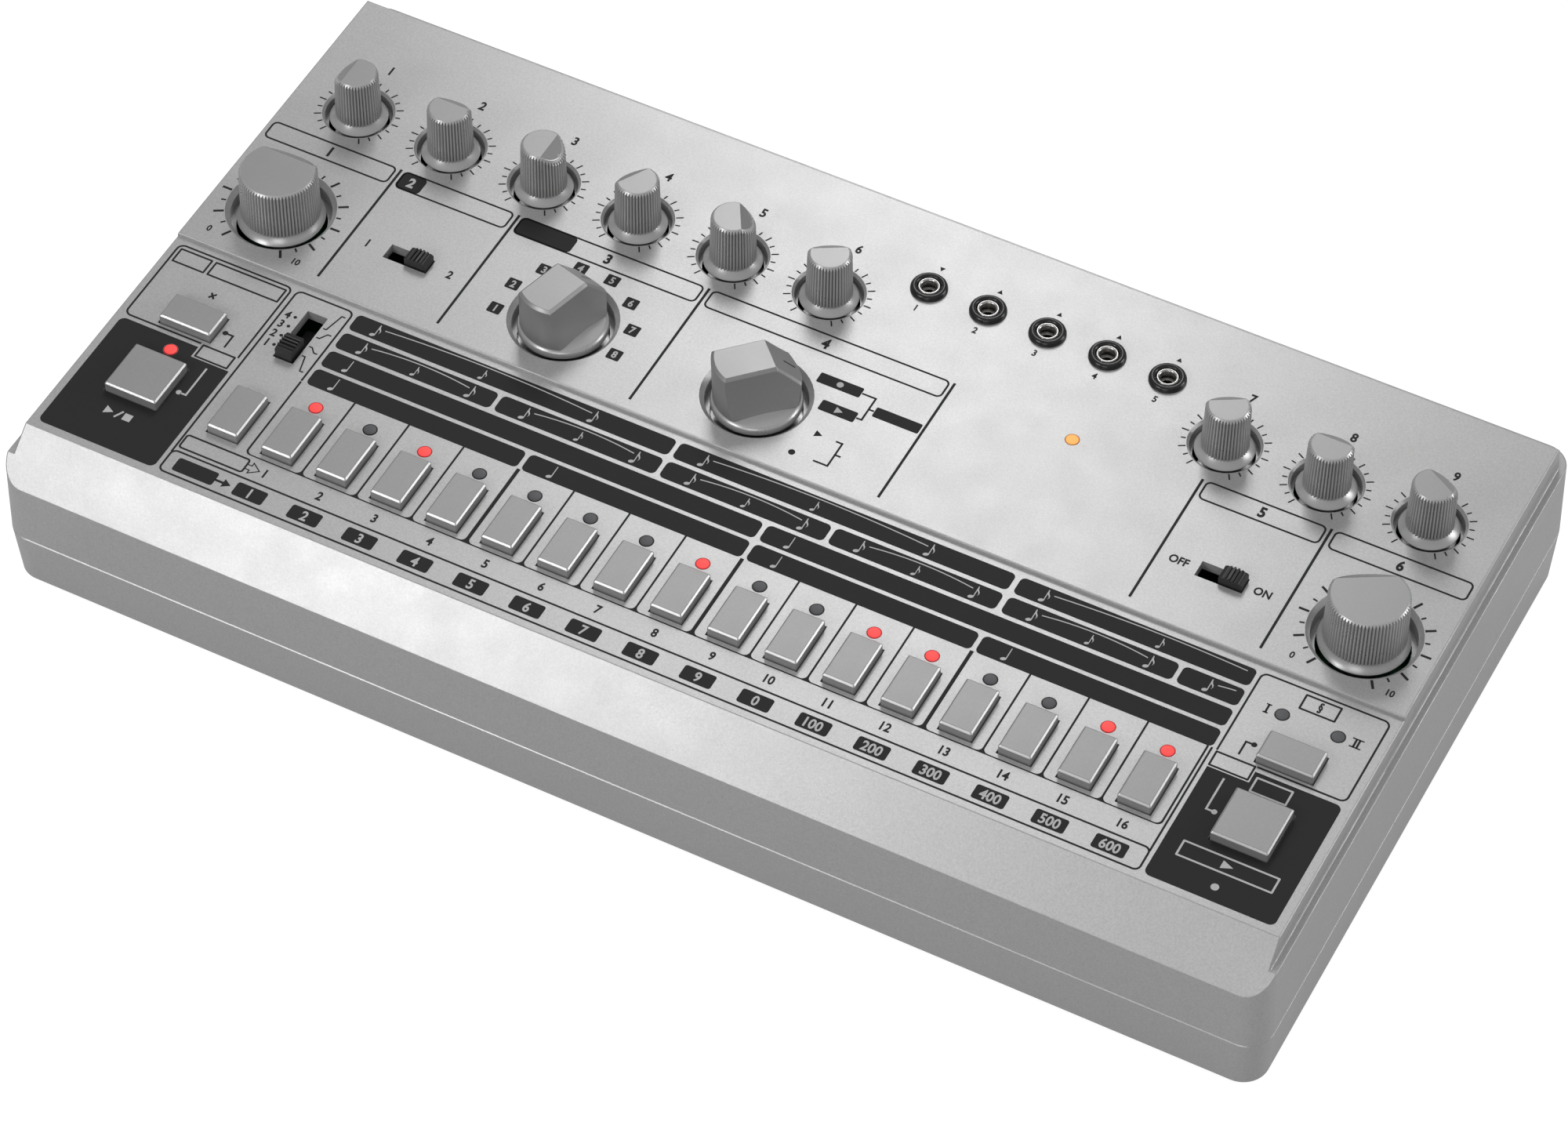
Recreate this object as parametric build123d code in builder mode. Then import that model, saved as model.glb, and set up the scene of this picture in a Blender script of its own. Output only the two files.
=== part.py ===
"""Table-top drum machine: two-shell moulded case, knurled knobs, keys, sockets and boards.

Millimetres.  X runs to the player's right, Y to the back, Z up.
The origin is on the table under the middle of the case.
"""

import os
from math import cos, pi, radians, sin, tan

from build123d import *

# ------------------------------------------------------------------ case shells
CASE_WIDTH = 305.0  # at the seam between the two shells
CASE_CORNER_R = 6.0
FOOT_HEIGHT = 1.4
LOWER_SHELL_HEIGHT = 15.05
UPPER_WALL_HEIGHT = 21.4  # from the seam up to the ledge round the panel
WALL = 2.5
LOWER_DRAFT = 0.6  # how far each wall of the lower shell leans in
LOWER_FRONT_DRAFT = 1.15
UPPER_DRAFT = 0.65  # how far the side and back walls of the upper shell lean in
SEAM_CHAMFER = 0.25
BOTTOM_BEVEL = 0.7
TONGUE_HEIGHT = 1.2
TONGUE_THICKNESS = 1.1
TONGUE_PLAY = 0.1

# ------------------------------------------------------------------ raised panel
PANEL_RISE = 6.15  # back plate above the ledge
PANEL_LEAN = 0.4  # how far the panel's side walls lean in
LEDGE_DEPTH_SIDE = 1.65  # ledge beside the panel, at the ledge's height
LEDGE_DEPTH_BACK = 5.3  # ledge behind the panel
PLATE_STEP = 0.92  # front plate below the back plate
LIP_BOTTOM_Z = 32.9
EDGE_ROUND = 0.35
AIR_MARGIN = 5.0  # how far a cut runs past the outside

# ------------------------------------------------------------------ rows of controls, from front to back
LIP_DEPTH = 10.2  # the sloping lip
LIP_TO_KEYS = 23.05  # from the top of the lip to the middle of the key row
KEYS_TO_STEP = 40.65
STEP_TO_SELECTORS = 17.2
SELECTORS_TO_KNOBS = 34.8
KNOBS_TO_BACK = 32.75  # from the knob row to the panel's back edge
END_KNOB_INSET = 16.7  # from the panel's side edge to the end knobs and keys
KNOB_PLACES = 12  # places in the knob row, the empty ones over the sockets included
LEFT_KNOB_COUNT = 6
TONE_KNOB_COUNT = 3

# ------------------------------------------------------------------ knobs and wells
SMALL_WELL_R = 7.82
SMALL_WELL_RIM = 0.6
SMALL_WELL_DEPTH = 3.4
SMALL_WELL_HOLE_R = 7.0
LARGE_WELL_R = 11.57
LARGE_WELL_RIM = 1.1
LARGE_WELL_DEPTH = 4.4
LARGE_WELL_HOLE_R = 10.35
WELL_FLOOR = 1.2
WELL_WALL = 1.2

SMALL_TEETH = 44
SMALL_GRIP_R = 5.35  # over the teeth, at the foot of the grip
SMALL_GRIP_TOP_R = 5.0
SMALL_GRIP_BASE = 0.3  # foot of the grip above the back plate
SMALL_KNOB_TOP = 12.7
SMALL_TOP_BEVEL = 0.65
SMALL_RIDGE = 1.7  # from the axis to the ridge of the pointer facet
SMALL_FACET_DROP = 38.0  # degrees
SMALL_SKIRT_R = 6.75
SMALL_FLARE_R = 3.1  # radius of the hollow between grip and skirt
SMALL_SKIRT_EDGE = -1.15
SMALL_KNOB_FOOT = -1.9

LARGE_TEETH = 72
LARGE_GRIP_R = 9.15
LARGE_GRIP_TOP_R = 8.85
LARGE_GRIP_BASE = 0.05
LARGE_KNOB_TOP = 12.6
LARGE_TOP_BEVEL = 0.6
LARGE_RIDGE = 4.9
LARGE_FACET_DROP = 42.0
LARGE_SKIRT_R = 10.08
LARGE_FLARE_R = 2.1
LARGE_SKIRT_EDGE = -1.84
LARGE_KNOB_FOOT = -2.6

TOOTH_DEPTH = 0.35
BLANK_MARGIN = 0.04  # the smooth blank stands this much outside the teeth
POINTER_NOTCH_WIDTH = 0.5
POINTER_NOTCH_DEPTH = 0.45

SHAFT_R = 3.0
SHAFT_FLAT = 1.5  # from the axis to the flat of the D section
SHAFT_FIT = 0.05
SHAFT_FOOT_GAP = 1.0  # under the shaft, inside the control it turns
BORE_TOP = 8.0  # top of the knob's bore above the back plate
BORE_END_GAP = 0.2

# ------------------------------------------------------------------ selector knobs
SELECTOR_TOP = 12.6
SELECTOR_SHELF = 0.65
SELECTOR_FOOT = -1.9
SELECTOR_TOP_R = 10.1
SELECTOR_SHELF_R = 9.8
SELECTOR_FOOT_R = 10.3
BAR_TOP_HALF = 4.9
BAR_FOOT_HALF = 6.2
BAR_HOLLOW = 0.45  # how far each side of the bar curves in
SELECTOR_BEVEL = 0.7
SELECTOR_RIDGE = 3.1
SELECTOR_FACET_DROP = 48.7
SELECTOR_MARK_WIDTH = 0.4
SELECTOR_MARK_DEPTH = 0.25
SELECTOR_MARK_START = 4.5  # from the ridge, down the facet

# ------------------------------------------------------------------ keys
KEY_COUNT = 16
LEFT_KEY_GAP = 23.41  # from the left end key to the function key
RIGHT_KEY_GAP = 23.78  # from the last step key to the right end key
KEY_WIDTH = 7.65
KEY_LENGTH = 13.45
SQUARE_KEY_WIDTH = 13.05
WIDE_KEY_LENGTH = 7.7
WIDE_KEY_RISE = 19.95  # from the key row back to the wide keys
KEY_STAND = 2.45  # key top above the front plate
KEY_BEVEL = 0.55
KEY_GAP = 0.3
KEY_FLANGE = 1.0
KEY_FLANGE_THICKNESS = 0.9
KEY_STOP_GAP = 0.1
KEY_STEM = 4.0
KEY_TRAVEL = 0.5
TACT_SIZE = 6.0
TACT_HEIGHT = 4.3
TACT_PLUNGER = 3.2
TACT_PLUNGER_STAND = 1.2
TACT_PLUNGER_DEPTH = 2.0
TACT_FIT = 0.15
PLUNGER_PLAY = 0.05

# ------------------------------------------------------------------ slide switches
SCALE_SLOT_TO_STEP = 13.96
SCALE_SLOT_WIDTH = 5.15
SCALE_SLOT_LENGTH = 15.35
SCALE_LEVER_WIDTH = 4.1
SCALE_LEVER_LENGTH = 5.7
SCALE_LEVER_STAND = 3.1
SCALE_TRAVEL = 9.15
SIDE_SLOT_SPACING = 33.2  # from the end knobs
SIDE_SLOT_LENGTH = 11.1
SIDE_SLOT_WIDTH = 4.4
SIDE_LEVER_LENGTH = 5.5
SIDE_LEVER_WIDTH = 3.8
SIDE_LEVER_STAND = 2.6
SIDE_TRAVEL = 5.2
LEVER_RIBS = 5
LEVER_RIB_DEPTH = 0.5
LEVER_ARCH = 0.8  # rise of the lever's arched top
LEVER_STEM = 2.4
LEVER_FIT = 0.2
SLIDE_BODY_MARGIN = 2.2
SLIDE_BODY_HEIGHT = 5.5

# ------------------------------------------------------------------ lamps and top sockets
LAMP_R = 1.6
LAMP_HOLE_R = 1.68
LAMP_STAND = 0.2
LAMP_BEVEL = 0.15
KEY_LAMP_RISE = 10.2  # from a row of keys back to its lamps
GROUP_LAMP_OFFSETS = (-6.64, 6.15)  # from the end key
TEMPO_LAMP_SPACING = 30.0  # from the first tone knob
TEMPO_LAMP_RISE = 20.5  # from the selector row
LIT_STEPS = (1, 3, 8, 11, 12, 15, 16)
JACK_PITCH = 14.64
JACK_COUNT = 5
JACK_ROW_RISE = 11.5  # from the knob row
JACK_BORE_R = 1.78
JACK_SLEEVE_R = 2.58
JACK_SLEEVE_STAND = 0.95
JACK_SLEEVE_LENGTH = 5.0
JACK_COLLAR_R = 4.28
JACK_COLLAR_TOP_R = 4.0
JACK_COLLAR_HEIGHT = 1.25
JACK_COLLAR_ROUND = 0.45
JACK_FIT = 0.05
JACK_BODY_WIDTH = 8.0
JACK_BODY_LENGTH = 7.5
JACK_BODY_GAP = 0.1
JACK_CHAMBER_R = 2.3  # room for the contacts under the sleeve
PLUG_DEPTH = 13.0

# ------------------------------------------------------------------ boards
BOARD_THICKNESS = 1.6
BOARD_CLEARANCE = 0.2  # round the bosses that pass a board
CONTROL_BOARD_TOP = 30.5
CONTROL_BOARD_SIDE_GAP = 10.5  # from the outside of the case
CONTROL_BOARD_LIP_GAP = 4.3
CONTROL_BOARD_BACK_MARGIN = 3.8  # behind the middle of the jacks
MAIN_BOARD_TOP = 15.5
MAIN_BOARD_SIDE_GAP = 16.5
MAIN_BOARD_BACK_GAP = 4.0
MAIN_BOARD_DEPTH = 60.5
POT_WIDTH = 11.0
POT_HEIGHT = 6.5
ROTARY_R = 12.0
ROTARY_HEIGHT = 6.8
ROTARY_SIDES = 12
LINK_WIDTH = 42.0
LINK_DEPTH = 5.0
LINK_SOCKET_HEIGHT = 8.5
LINK_PLAY = 0.1
LINK_SHIFT = -40.0  # from the middle of the case
LINK_INSET = 12.0  # from the main board's front edge

# ------------------------------------------------------------------ bosses and screws
BOSS_SIDE_INSET = 10.0
BOSS_FRONT_INSET = 9.0
BOSS_BACK_INSET = 10.0
PANEL_POST_FRONT_INSET = 6.0  # from the control board's edges
PANEL_POST_BACK_INSET = 3.7
MIDDLE_POST_DROP = 3.4  # in front of the knob row
MAIN_POST_SIDE_INSET = 12.0  # from the main board's edges
MAIN_POST_FRONT_INSET = 8.0
MAIN_POST_BACK_INSET = 12.5
UPPER_BOSS_R = 3.6
LOWER_BOSS_R = 4.6
POST_R = 3.0
SCREW_R = 1.5
SCREW_FIT = 0.03
SCREW_CLEARANCE_R = 1.75
SCREW_HEAD_R = 2.8
SCREW_HEAD_HEIGHT = 2.0
SCREW_BITE = 8.0
PILOT_SPARE = 1.0  # how much deeper a pilot hole runs than its screw
COUNTERBORE_R = 3.1
COUNTERBORE_DEPTH = 4.0
BOARD_SCREW_R = 1.2
BOARD_SCREW_HEAD_R = 2.2
BOARD_SCREW_HEAD_HEIGHT = 1.4
BOARD_SCREW_BITE = 5.0
FOOT_R = 6.0
FOOT_RECESS = 0.7
FOOT_INSET = 22.5  # from the outside of the case

# ------------------------------------------------------------------ back sockets
BACK_FACE_GAP = 0.35  # between a socket's body and the inside of the back wall
BUSH_SETBACK = 0.3  # a bush ends this far inside the outer face
BUSH_FIT = 0.12
DC_INSET = 24.5  # from the right side of the case
DC_HEIGHT = 6.5
DC_BUSH_R = 3.9
DC_BORE_R = 2.85
DC_PIN_R = 1.05
DC_BORE_DEPTH = 9.5
DC_BODY = (9.0, 13.5, 11.0)
SWITCH_SPACING = 20.0  # from the power inlet
SWITCH_HEIGHT = 8.5
SWITCH_SLOT_WIDTH = 9.0
SWITCH_SLOT_HEIGHT = 4.4
SWITCH_LEVER = 4.0
SWITCH_TRAVEL = 4.4
SWITCH_BODY = (14.0, 7.0, 12.0)
USB_SPACING = 24.0  # from the power switch
USB_HEIGHT = 7.8
USB_SHELL = (12.0, 10.9)
USB_MOUTH = (8.5, 7.8)
USB_TONGUE = (5.6, 3.2)
USB_DEPTH = 16.0
USB_MOUTH_DEPTH = 11.0
USB_FOOT_DEPTH = 5.0
MIDI_SPACING = 24.0  # from the USB socket
MIDI_PITCH = 26.0
MIDI_HEIGHT = 9.8
MIDI_RING_R = 7.5
MIDI_GROOVE_R = 6.9
MIDI_CORE_R = 5.8
MIDI_GROOVE_DEPTH = 7.0
MIDI_PIN_CIRCLE_R = 3.75
MIDI_PIN_R = 0.75
MIDI_PINS = 5
MIDI_BODY = (19.5, 15.0)
VOICE_COUNT = 6
VOICE_SPACING = 24.0  # from the mix socket
VOICE_PITCH = 13.0
VOICE_HEIGHT = 5.4
VOICE_BUSH_R = 3.0
VOICE_BODY = (8.0, 12.0, 9.0)
MIX_INSET = 49.5  # from the left side of the case
MIX_HEIGHT = 7.5
MIX_BUSH_R = 4.7
MIX_BORE_R = 3.22
MIX_BODY = (15.0, 24.0, 12.8)

# ------------------------------------------------------------------ worked out from the sizes above
CASE_BOTTOM = FOOT_HEIGHT
SEAM_Z = CASE_BOTTOM + LOWER_SHELL_HEIGHT
LEDGE_Z = SEAM_Z + UPPER_WALL_HEIGHT
PANEL_Z = LEDGE_Z + PANEL_RISE
FRONT_PLATE_Z = PANEL_Z - PLATE_STEP
HALF_WIDTH = CASE_WIDTH / 2
PANEL_HALF_WIDTH = HALF_WIDTH - UPPER_DRAFT - LEDGE_DEPTH_SIDE - PANEL_LEAN
PANEL_DEPTH = LIP_TO_KEYS + KEYS_TO_STEP + STEP_TO_SELECTORS + SELECTORS_TO_KNOBS + KNOBS_TO_BACK
CASE_DEPTH = LIP_DEPTH + PANEL_DEPTH + PANEL_LEAN + LEDGE_DEPTH_BACK + UPPER_DRAFT
HALF_DEPTH = CASE_DEPTH / 2
LIP_BOTTOM_Y = -HALF_DEPTH
LIP_TOP_Y = LIP_BOTTOM_Y + LIP_DEPTH
KEY_ROW_Y = LIP_TOP_Y + LIP_TO_KEYS
WIDE_KEY_Y = KEY_ROW_Y + WIDE_KEY_RISE
PLATE_STEP_Y = KEY_ROW_Y + KEYS_TO_STEP
SELECTOR_ROW_Y = PLATE_STEP_Y + STEP_TO_SELECTORS
KNOB_ROW_Y = SELECTOR_ROW_Y + SELECTORS_TO_KNOBS
PANEL_BACK_Y = KNOB_ROW_Y + KNOBS_TO_BACK
JACK_ROW_Y = KNOB_ROW_Y + JACK_ROW_RISE

END_KNOB_X = PANEL_HALF_WIDTH - END_KNOB_INSET
KNOB_PITCH = 2 * END_KNOB_X / (KNOB_PLACES - 1)
LEFT_KNOBS = [-END_KNOB_X + i * KNOB_PITCH for i in range(LEFT_KNOB_COUNT)]
TONE_KNOBS = [END_KNOB_X - i * KNOB_PITCH for i in reversed(range(TONE_KNOB_COUNT))]
INSTRUMENT_X = LEFT_KNOBS[3]
MODE_X = LEFT_KNOBS[5]
FUNCTION_KEY_X = -END_KNOB_X + LEFT_KEY_GAP
KEY_PITCH = (END_KNOB_X - RIGHT_KEY_GAP - FUNCTION_KEY_X) / KEY_COUNT
KEY_XS = [FUNCTION_KEY_X + i * KEY_PITCH for i in range(1, KEY_COUNT + 1)]
JACK_CENTRE_X = (MODE_X + TONE_KNOBS[0]) / 2
JACK_XS = [JACK_CENTRE_X + (i - (JACK_COUNT - 1) / 2) * JACK_PITCH for i in range(JACK_COUNT)]
SIDE_SLOT_X = END_KNOB_X - SIDE_SLOT_SPACING
SIDE_SLOT_Y = SELECTOR_ROW_Y
SCALE_SLOT_X = FUNCTION_KEY_X
SCALE_SLOT_Y = PLATE_STEP_Y - SCALE_SLOT_TO_STEP
KEY_LAMP_Y = KEY_ROW_Y + KEY_LAMP_RISE
GROUP_LAMPS = [(END_KNOB_X + offset, WIDE_KEY_Y + KEY_LAMP_RISE) for offset in GROUP_LAMP_OFFSETS]
TEMPO_LAMP = (TONE_KNOBS[0] - TEMPO_LAMP_SPACING, SELECTOR_ROW_Y + TEMPO_LAMP_RISE)

DC_X = HALF_WIDTH - DC_INSET
SWITCH_X = DC_X - SWITCH_SPACING
USB_X = SWITCH_X - USB_SPACING
MIDI_X = (USB_X - MIDI_SPACING, USB_X - MIDI_SPACING - MIDI_PITCH)
MIX_X = -HALF_WIDTH + MIX_INSET
VOICE_XS = [MIX_X + VOICE_SPACING + i * VOICE_PITCH for i in range(VOICE_COUNT)]

CONTROL_BOARD_BOTTOM = CONTROL_BOARD_TOP - BOARD_THICKNESS
CONTROL_BOARD_HALF_WIDTH = HALF_WIDTH - CONTROL_BOARD_SIDE_GAP
CONTROL_BOARD_FRONT = LIP_TOP_Y + CONTROL_BOARD_LIP_GAP
CONTROL_BOARD_BACK = JACK_ROW_Y + CONTROL_BOARD_BACK_MARGIN
MAIN_BOARD_BOTTOM = MAIN_BOARD_TOP - BOARD_THICKNESS
MAIN_BOARD_HALF_WIDTH = HALF_WIDTH - MAIN_BOARD_SIDE_GAP
MAIN_BOARD_BACK = HALF_DEPTH - MAIN_BOARD_BACK_GAP
MAIN_BOARD_FRONT = MAIN_BOARD_BACK - MAIN_BOARD_DEPTH
LINK_CENTRE = (LINK_SHIFT, MAIN_BOARD_FRONT + LINK_INSET)
BOSS_X = HALF_WIDTH - BOSS_SIDE_INSET
BOSS_YS = (-HALF_DEPTH + BOSS_FRONT_INSET, HALF_DEPTH - BOSS_BACK_INSET)
CASE_BOSSES = [(x, y) for y in BOSS_YS for x in (-BOSS_X, 0, BOSS_X)]
POST_X = END_KNOB_X - KNOB_PITCH / 2
FRONT_POSTS = [(x, CONTROL_BOARD_FRONT + PANEL_POST_FRONT_INSET) for x in (-POST_X, 0, POST_X)]
BACK_POSTS = [(x, CONTROL_BOARD_BACK - PANEL_POST_BACK_INSET) for x in (-POST_X, POST_X)]
PANEL_POSTS = [*FRONT_POSTS, *BACK_POSTS, (JACK_CENTRE_X, KNOB_ROW_Y - MIDDLE_POST_DROP)]
MAIN_POST_X = MAIN_BOARD_HALF_WIDTH - MAIN_POST_SIDE_INSET
MAIN_FRONT_POST_Y = MAIN_BOARD_FRONT + MAIN_POST_FRONT_INSET
MAIN_BACK_POST_Y = MAIN_BOARD_BACK - MAIN_POST_BACK_INSET
MAIN_POSTS = [
    (-MAIN_POST_X, MAIN_FRONT_POST_Y),
    (MAIN_POST_X, MAIN_FRONT_POST_Y),
    (-MAIN_POST_X, MAIN_BACK_POST_Y),
    ((SWITCH_X + USB_X) / 2, MAIN_BACK_POST_Y),
]
FOOT_X = HALF_WIDTH - FOOT_INSET
FOOT_Y = HALF_DEPTH - FOOT_INSET
FOOT_POSITIONS = [(x, y) for x in (-FOOT_X, FOOT_X) for y in (-FOOT_Y, FOOT_Y)]

# name, place on the panel, and where the pointer looks at rest (degrees from +X)
SMALL_KNOBS = (
    ("accent_knob", LEFT_KNOBS[0], 180),
    ("bass_drum_knob", LEFT_KNOBS[1], 90),
    ("snare_drum_knob", LEFT_KNOBS[2], 0),
    ("tom_knob", LEFT_KNOBS[3], 150),
    ("cymbal_knob", LEFT_KNOBS[4], 30),
    ("hi_hat_knob", LEFT_KNOBS[5], 120),
    ("distortion_knob", TONE_KNOBS[0], 120),
    ("tone_knob", TONE_KNOBS[1], 90),
    ("level_knob", TONE_KNOBS[2], 60),
)
LARGE_KNOBS = (
    ("tempo_knob", -END_KNOB_X, 90),
    ("volume_knob", END_KNOB_X, 120),
)
SELECTORS = (
    ("instrument_selector_knob", INSTRUMENT_X, 75),
    ("mode_selector_knob", MODE_X, 45),
)
# name, centre, width along X, length along Y
KEYS = [(f"step_button_{i + 1:02d}", KEY_XS[i], KEY_ROW_Y, KEY_WIDTH, KEY_LENGTH) for i in range(KEY_COUNT)]
KEYS += [
    ("function_button", FUNCTION_KEY_X, KEY_ROW_Y, KEY_WIDTH, KEY_LENGTH),
    ("start_stop_button", -END_KNOB_X, KEY_ROW_Y, SQUARE_KEY_WIDTH, KEY_LENGTH),
    ("tap_button", END_KNOB_X, KEY_ROW_Y, SQUARE_KEY_WIDTH, KEY_LENGTH),
    ("clear_button", -END_KNOB_X, WIDE_KEY_Y, SQUARE_KEY_WIDTH, WIDE_KEY_LENGTH),
    ("pattern_group_button", END_KNOB_X, WIDE_KEY_Y, SQUARE_KEY_WIDTH, WIDE_KEY_LENGTH),
]
LIT_LAMPS = [(-END_KNOB_X, KEY_LAMP_Y)]
LIT_LAMPS += [(KEY_XS[n - 1], KEY_LAMP_Y) for n in LIT_STEPS]
DARK_LAMPS = [(x, KEY_LAMP_Y) for n, x in enumerate(KEY_XS, 1) if n not in LIT_STEPS]
DARK_LAMPS += GROUP_LAMPS
SMALL_WELLS = [(x, KNOB_ROW_Y) for _, x, _ in SMALL_KNOBS]
LARGE_WELLS = [(x, SELECTOR_ROW_Y) for _, x, _ in LARGE_KNOBS + SELECTORS]

os.makedirs("parts", exist_ok=True)


def finish(builder, name):
    """Label a finished piece and write it to its own file."""
    builder.part.label = name
    export_step(builder.part, f"parts/{name}.step")


def case_plan(height, side, front, back, inset=0.0):
    """Rounded plan of the case at a height, drawn in by a lean at each wall and by an inset all round."""
    front_y = -HALF_DEPTH + front + inset
    back_y = HALF_DEPTH - back - inset
    with BuildSketch(Plane.XY.offset(height)) as plan:
        with Locations((0, (front_y + back_y) / 2)):
            RectangleRounded(2 * (HALF_WIDTH - side - inset), back_y - front_y, CASE_CORNER_R - inset)
    return plan.sketch


def upper_lean(height):
    """Lean of the upper shell's side and back walls at a height above the seam."""
    return UPPER_DRAFT * (height - SEAM_Z) / UPPER_WALL_HEIGHT


def lower_lean(height, draft):
    """Lean of a wall of the lower shell at a height under the seam."""
    return draft * (SEAM_Z - height) / LOWER_SHELL_HEIGHT


def panel_plan(height, lean, inset=0.0):
    """Square-cornered plan of the raised panel; it runs forward to be cut off by the lip."""
    half_width = PANEL_HALF_WIDTH + lean - inset
    back_y = PANEL_BACK_Y + lean - inset
    front_y = -HALF_DEPTH + inset
    with BuildSketch(Plane.XY.offset(height)) as plan:
        with Locations((0, (back_y + front_y) / 2)):
            Rectangle(2 * half_width, back_y - front_y)
    return plan.sketch


def front_profile(inset=0.0):
    """Corners (Y, Z) of the air over the front plate and the sloping lip, moved inwards by a wall."""
    lip_slope = (FRONT_PLATE_Z - LIP_BOTTOM_Z) / (LIP_TOP_Y - LIP_BOTTOM_Y)
    lip_drop = inset * (1 + lip_slope**2) ** 0.5  # the slope's own wall, measured straight down
    plate_z = FRONT_PLATE_Z - inset
    turn_y = LIP_TOP_Y + (lip_drop - inset) / lip_slope
    end_y = LIP_BOTTOM_Y - AIR_MARGIN
    end_z = FRONT_PLATE_Z - lip_drop - lip_slope * (LIP_TOP_Y - end_y)
    top_z = PANEL_Z + AIR_MARGIN
    step_y = PLATE_STEP_Y + inset
    return [(step_y, plate_z), (turn_y, plate_z), (end_y, end_z), (end_y, top_z), (step_y, top_z)]


def tooth_ring(teeth, radius, depth):
    """Outline of a knurl: V-shaped teeth round a circle."""
    step = pi / teeth
    points = []
    for i in range(2 * teeth):
        r = radius - depth * (i % 2)
        points.append((r * cos(i * step), r * sin(i * step)))
    return points


def d_section(radius, flat):
    """Round section with one flat, on its +X side."""
    with BuildSketch() as section:
        Circle(radius)
        with Locations((flat, 0)):
            Rectangle(2 * radius, 2 * radius, align=(Align.MIN, Align.CENTER), mode=Mode.SUBTRACT)
    return section.sketch


# ------------------------------------------------------------------ upper case
# The space inside the upper shell, with the screw bosses and board posts left standing in it
with BuildPart() as upper_space:
    ceiling = LEDGE_Z - WALL
    add(case_plan(SEAM_Z, 0, 0, 0, WALL))
    add(case_plan(ceiling, upper_lean(ceiling), 0, upper_lean(ceiling), WALL))
    loft(ruled=True)
    add(panel_plan(SEAM_Z, 0, WALL + EDGE_ROUND))
    extrude(amount=PANEL_Z - WALL - SEAM_Z)
    with BuildSketch(Plane.YZ):
        Polygon(*front_profile(WALL), align=None)
    extrude(amount=HALF_WIDTH, both=True, mode=Mode.SUBTRACT)
    with BuildSketch(Plane.XY.offset(SEAM_Z)):
        with Locations(CASE_BOSSES):
            Circle(UPPER_BOSS_R)
    extrude(amount=PANEL_Z - SEAM_Z, mode=Mode.SUBTRACT)
    with BuildSketch(Plane.XY.offset(CONTROL_BOARD_TOP)):
        with Locations(PANEL_POSTS):
            Circle(POST_R)
    extrude(amount=PANEL_Z - CONTROL_BOARD_TOP, mode=Mode.SUBTRACT)
    # square pads under the plate that carry the floors of the wells
    with BuildSketch(Plane.XY.offset(PANEL_Z - SMALL_WELL_DEPTH - WELL_FLOOR)):
        with Locations(SMALL_WELLS):
            Rectangle(2 * (SMALL_WELL_R + WELL_WALL), 2 * (SMALL_WELL_R + WELL_WALL))
    extrude(amount=SMALL_WELL_DEPTH + WELL_FLOOR, mode=Mode.SUBTRACT)
    with BuildSketch(Plane.XY.offset(PANEL_Z - LARGE_WELL_DEPTH - WELL_FLOOR)):
        with Locations(LARGE_WELLS):
            Rectangle(2 * (LARGE_WELL_R + WELL_WALL), 2 * (LARGE_WELL_R + WELL_WALL))
    extrude(amount=LARGE_WELL_DEPTH + WELL_FLOOR, mode=Mode.SUBTRACT)

# Band that is cut away inside the foot of the upper shell, for the lower shell's tongue
with BuildPart() as tongue_band:
    add(case_plan(SEAM_Z, 0, 0, 0, WALL - TONGUE_THICKNESS - TONGUE_PLAY))
    extrude(amount=TONGUE_HEIGHT + TONGUE_PLAY)
    add(case_plan(SEAM_Z, 0, 0, 0, WALL))
    extrude(amount=TONGUE_HEIGHT + TONGUE_PLAY, mode=Mode.SUBTRACT)


def on_front_plate(edge):
    """True for an edge round the front plate or down the lip's sides."""
    middle = edge.center()
    return LEDGE_Z + EDGE_ROUND < middle.Z < PANEL_Z and middle.Y < PLATE_STEP_Y - EDGE_ROUND


def at_panel_foot(edge):
    """True for a long edge where the panel's walls stand on the ledge."""
    middle = edge.center()
    near_x = abs(middle.X) < PANEL_HALF_WIDTH + PANEL_LEAN + EDGE_ROUND
    near_y = middle.Y < PANEL_BACK_Y + PANEL_LEAN + EDGE_ROUND
    return abs(middle.Z - LEDGE_Z) < EDGE_ROUND / 2 and edge.length > HALF_DEPTH and near_x and near_y


def on_case_rim(edge):
    """True for an edge round the outside of the ledge or along the foot of the lip."""
    middle = edge.center()
    side = abs(middle.X) > HALF_WIDTH - UPPER_DRAFT - LEDGE_DEPTH_SIDE / 2
    back = middle.Y > PANEL_BACK_Y + LEDGE_DEPTH_BACK / 2
    front = middle.Y < LIP_BOTTOM_Y + CASE_CORNER_R / 2
    return LIP_BOTTOM_Z - EDGE_ROUND < middle.Z < LEDGE_Z + EDGE_ROUND and (side or back or front)


def on_back_plate(edge):
    """True for an edge round the back plate."""
    return edge.center().Z > PANEL_Z - EDGE_ROUND / 2


with BuildPart() as upper_block:
    # the outer wall starts with the bevel that makes the seam's groove
    bevel_lean = upper_lean(SEAM_Z + SEAM_CHAMFER)
    add(case_plan(SEAM_Z, 0, 0, 0, SEAM_CHAMFER))
    add(case_plan(SEAM_Z + SEAM_CHAMFER, bevel_lean, 0, bevel_lean))
    add(case_plan(LEDGE_Z, UPPER_DRAFT, 0, UPPER_DRAFT))
    loft(ruled=True)
    add(panel_plan(LEDGE_Z, PANEL_LEAN))
    add(panel_plan(PANEL_Z, 0))
    loft(ruled=True)
    with BuildSketch(Plane.YZ):
        Polygon(*front_profile(), align=None)
    extrude(amount=HALF_WIDTH + AIR_MARGIN, both=True, mode=Mode.SUBTRACT)

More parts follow.
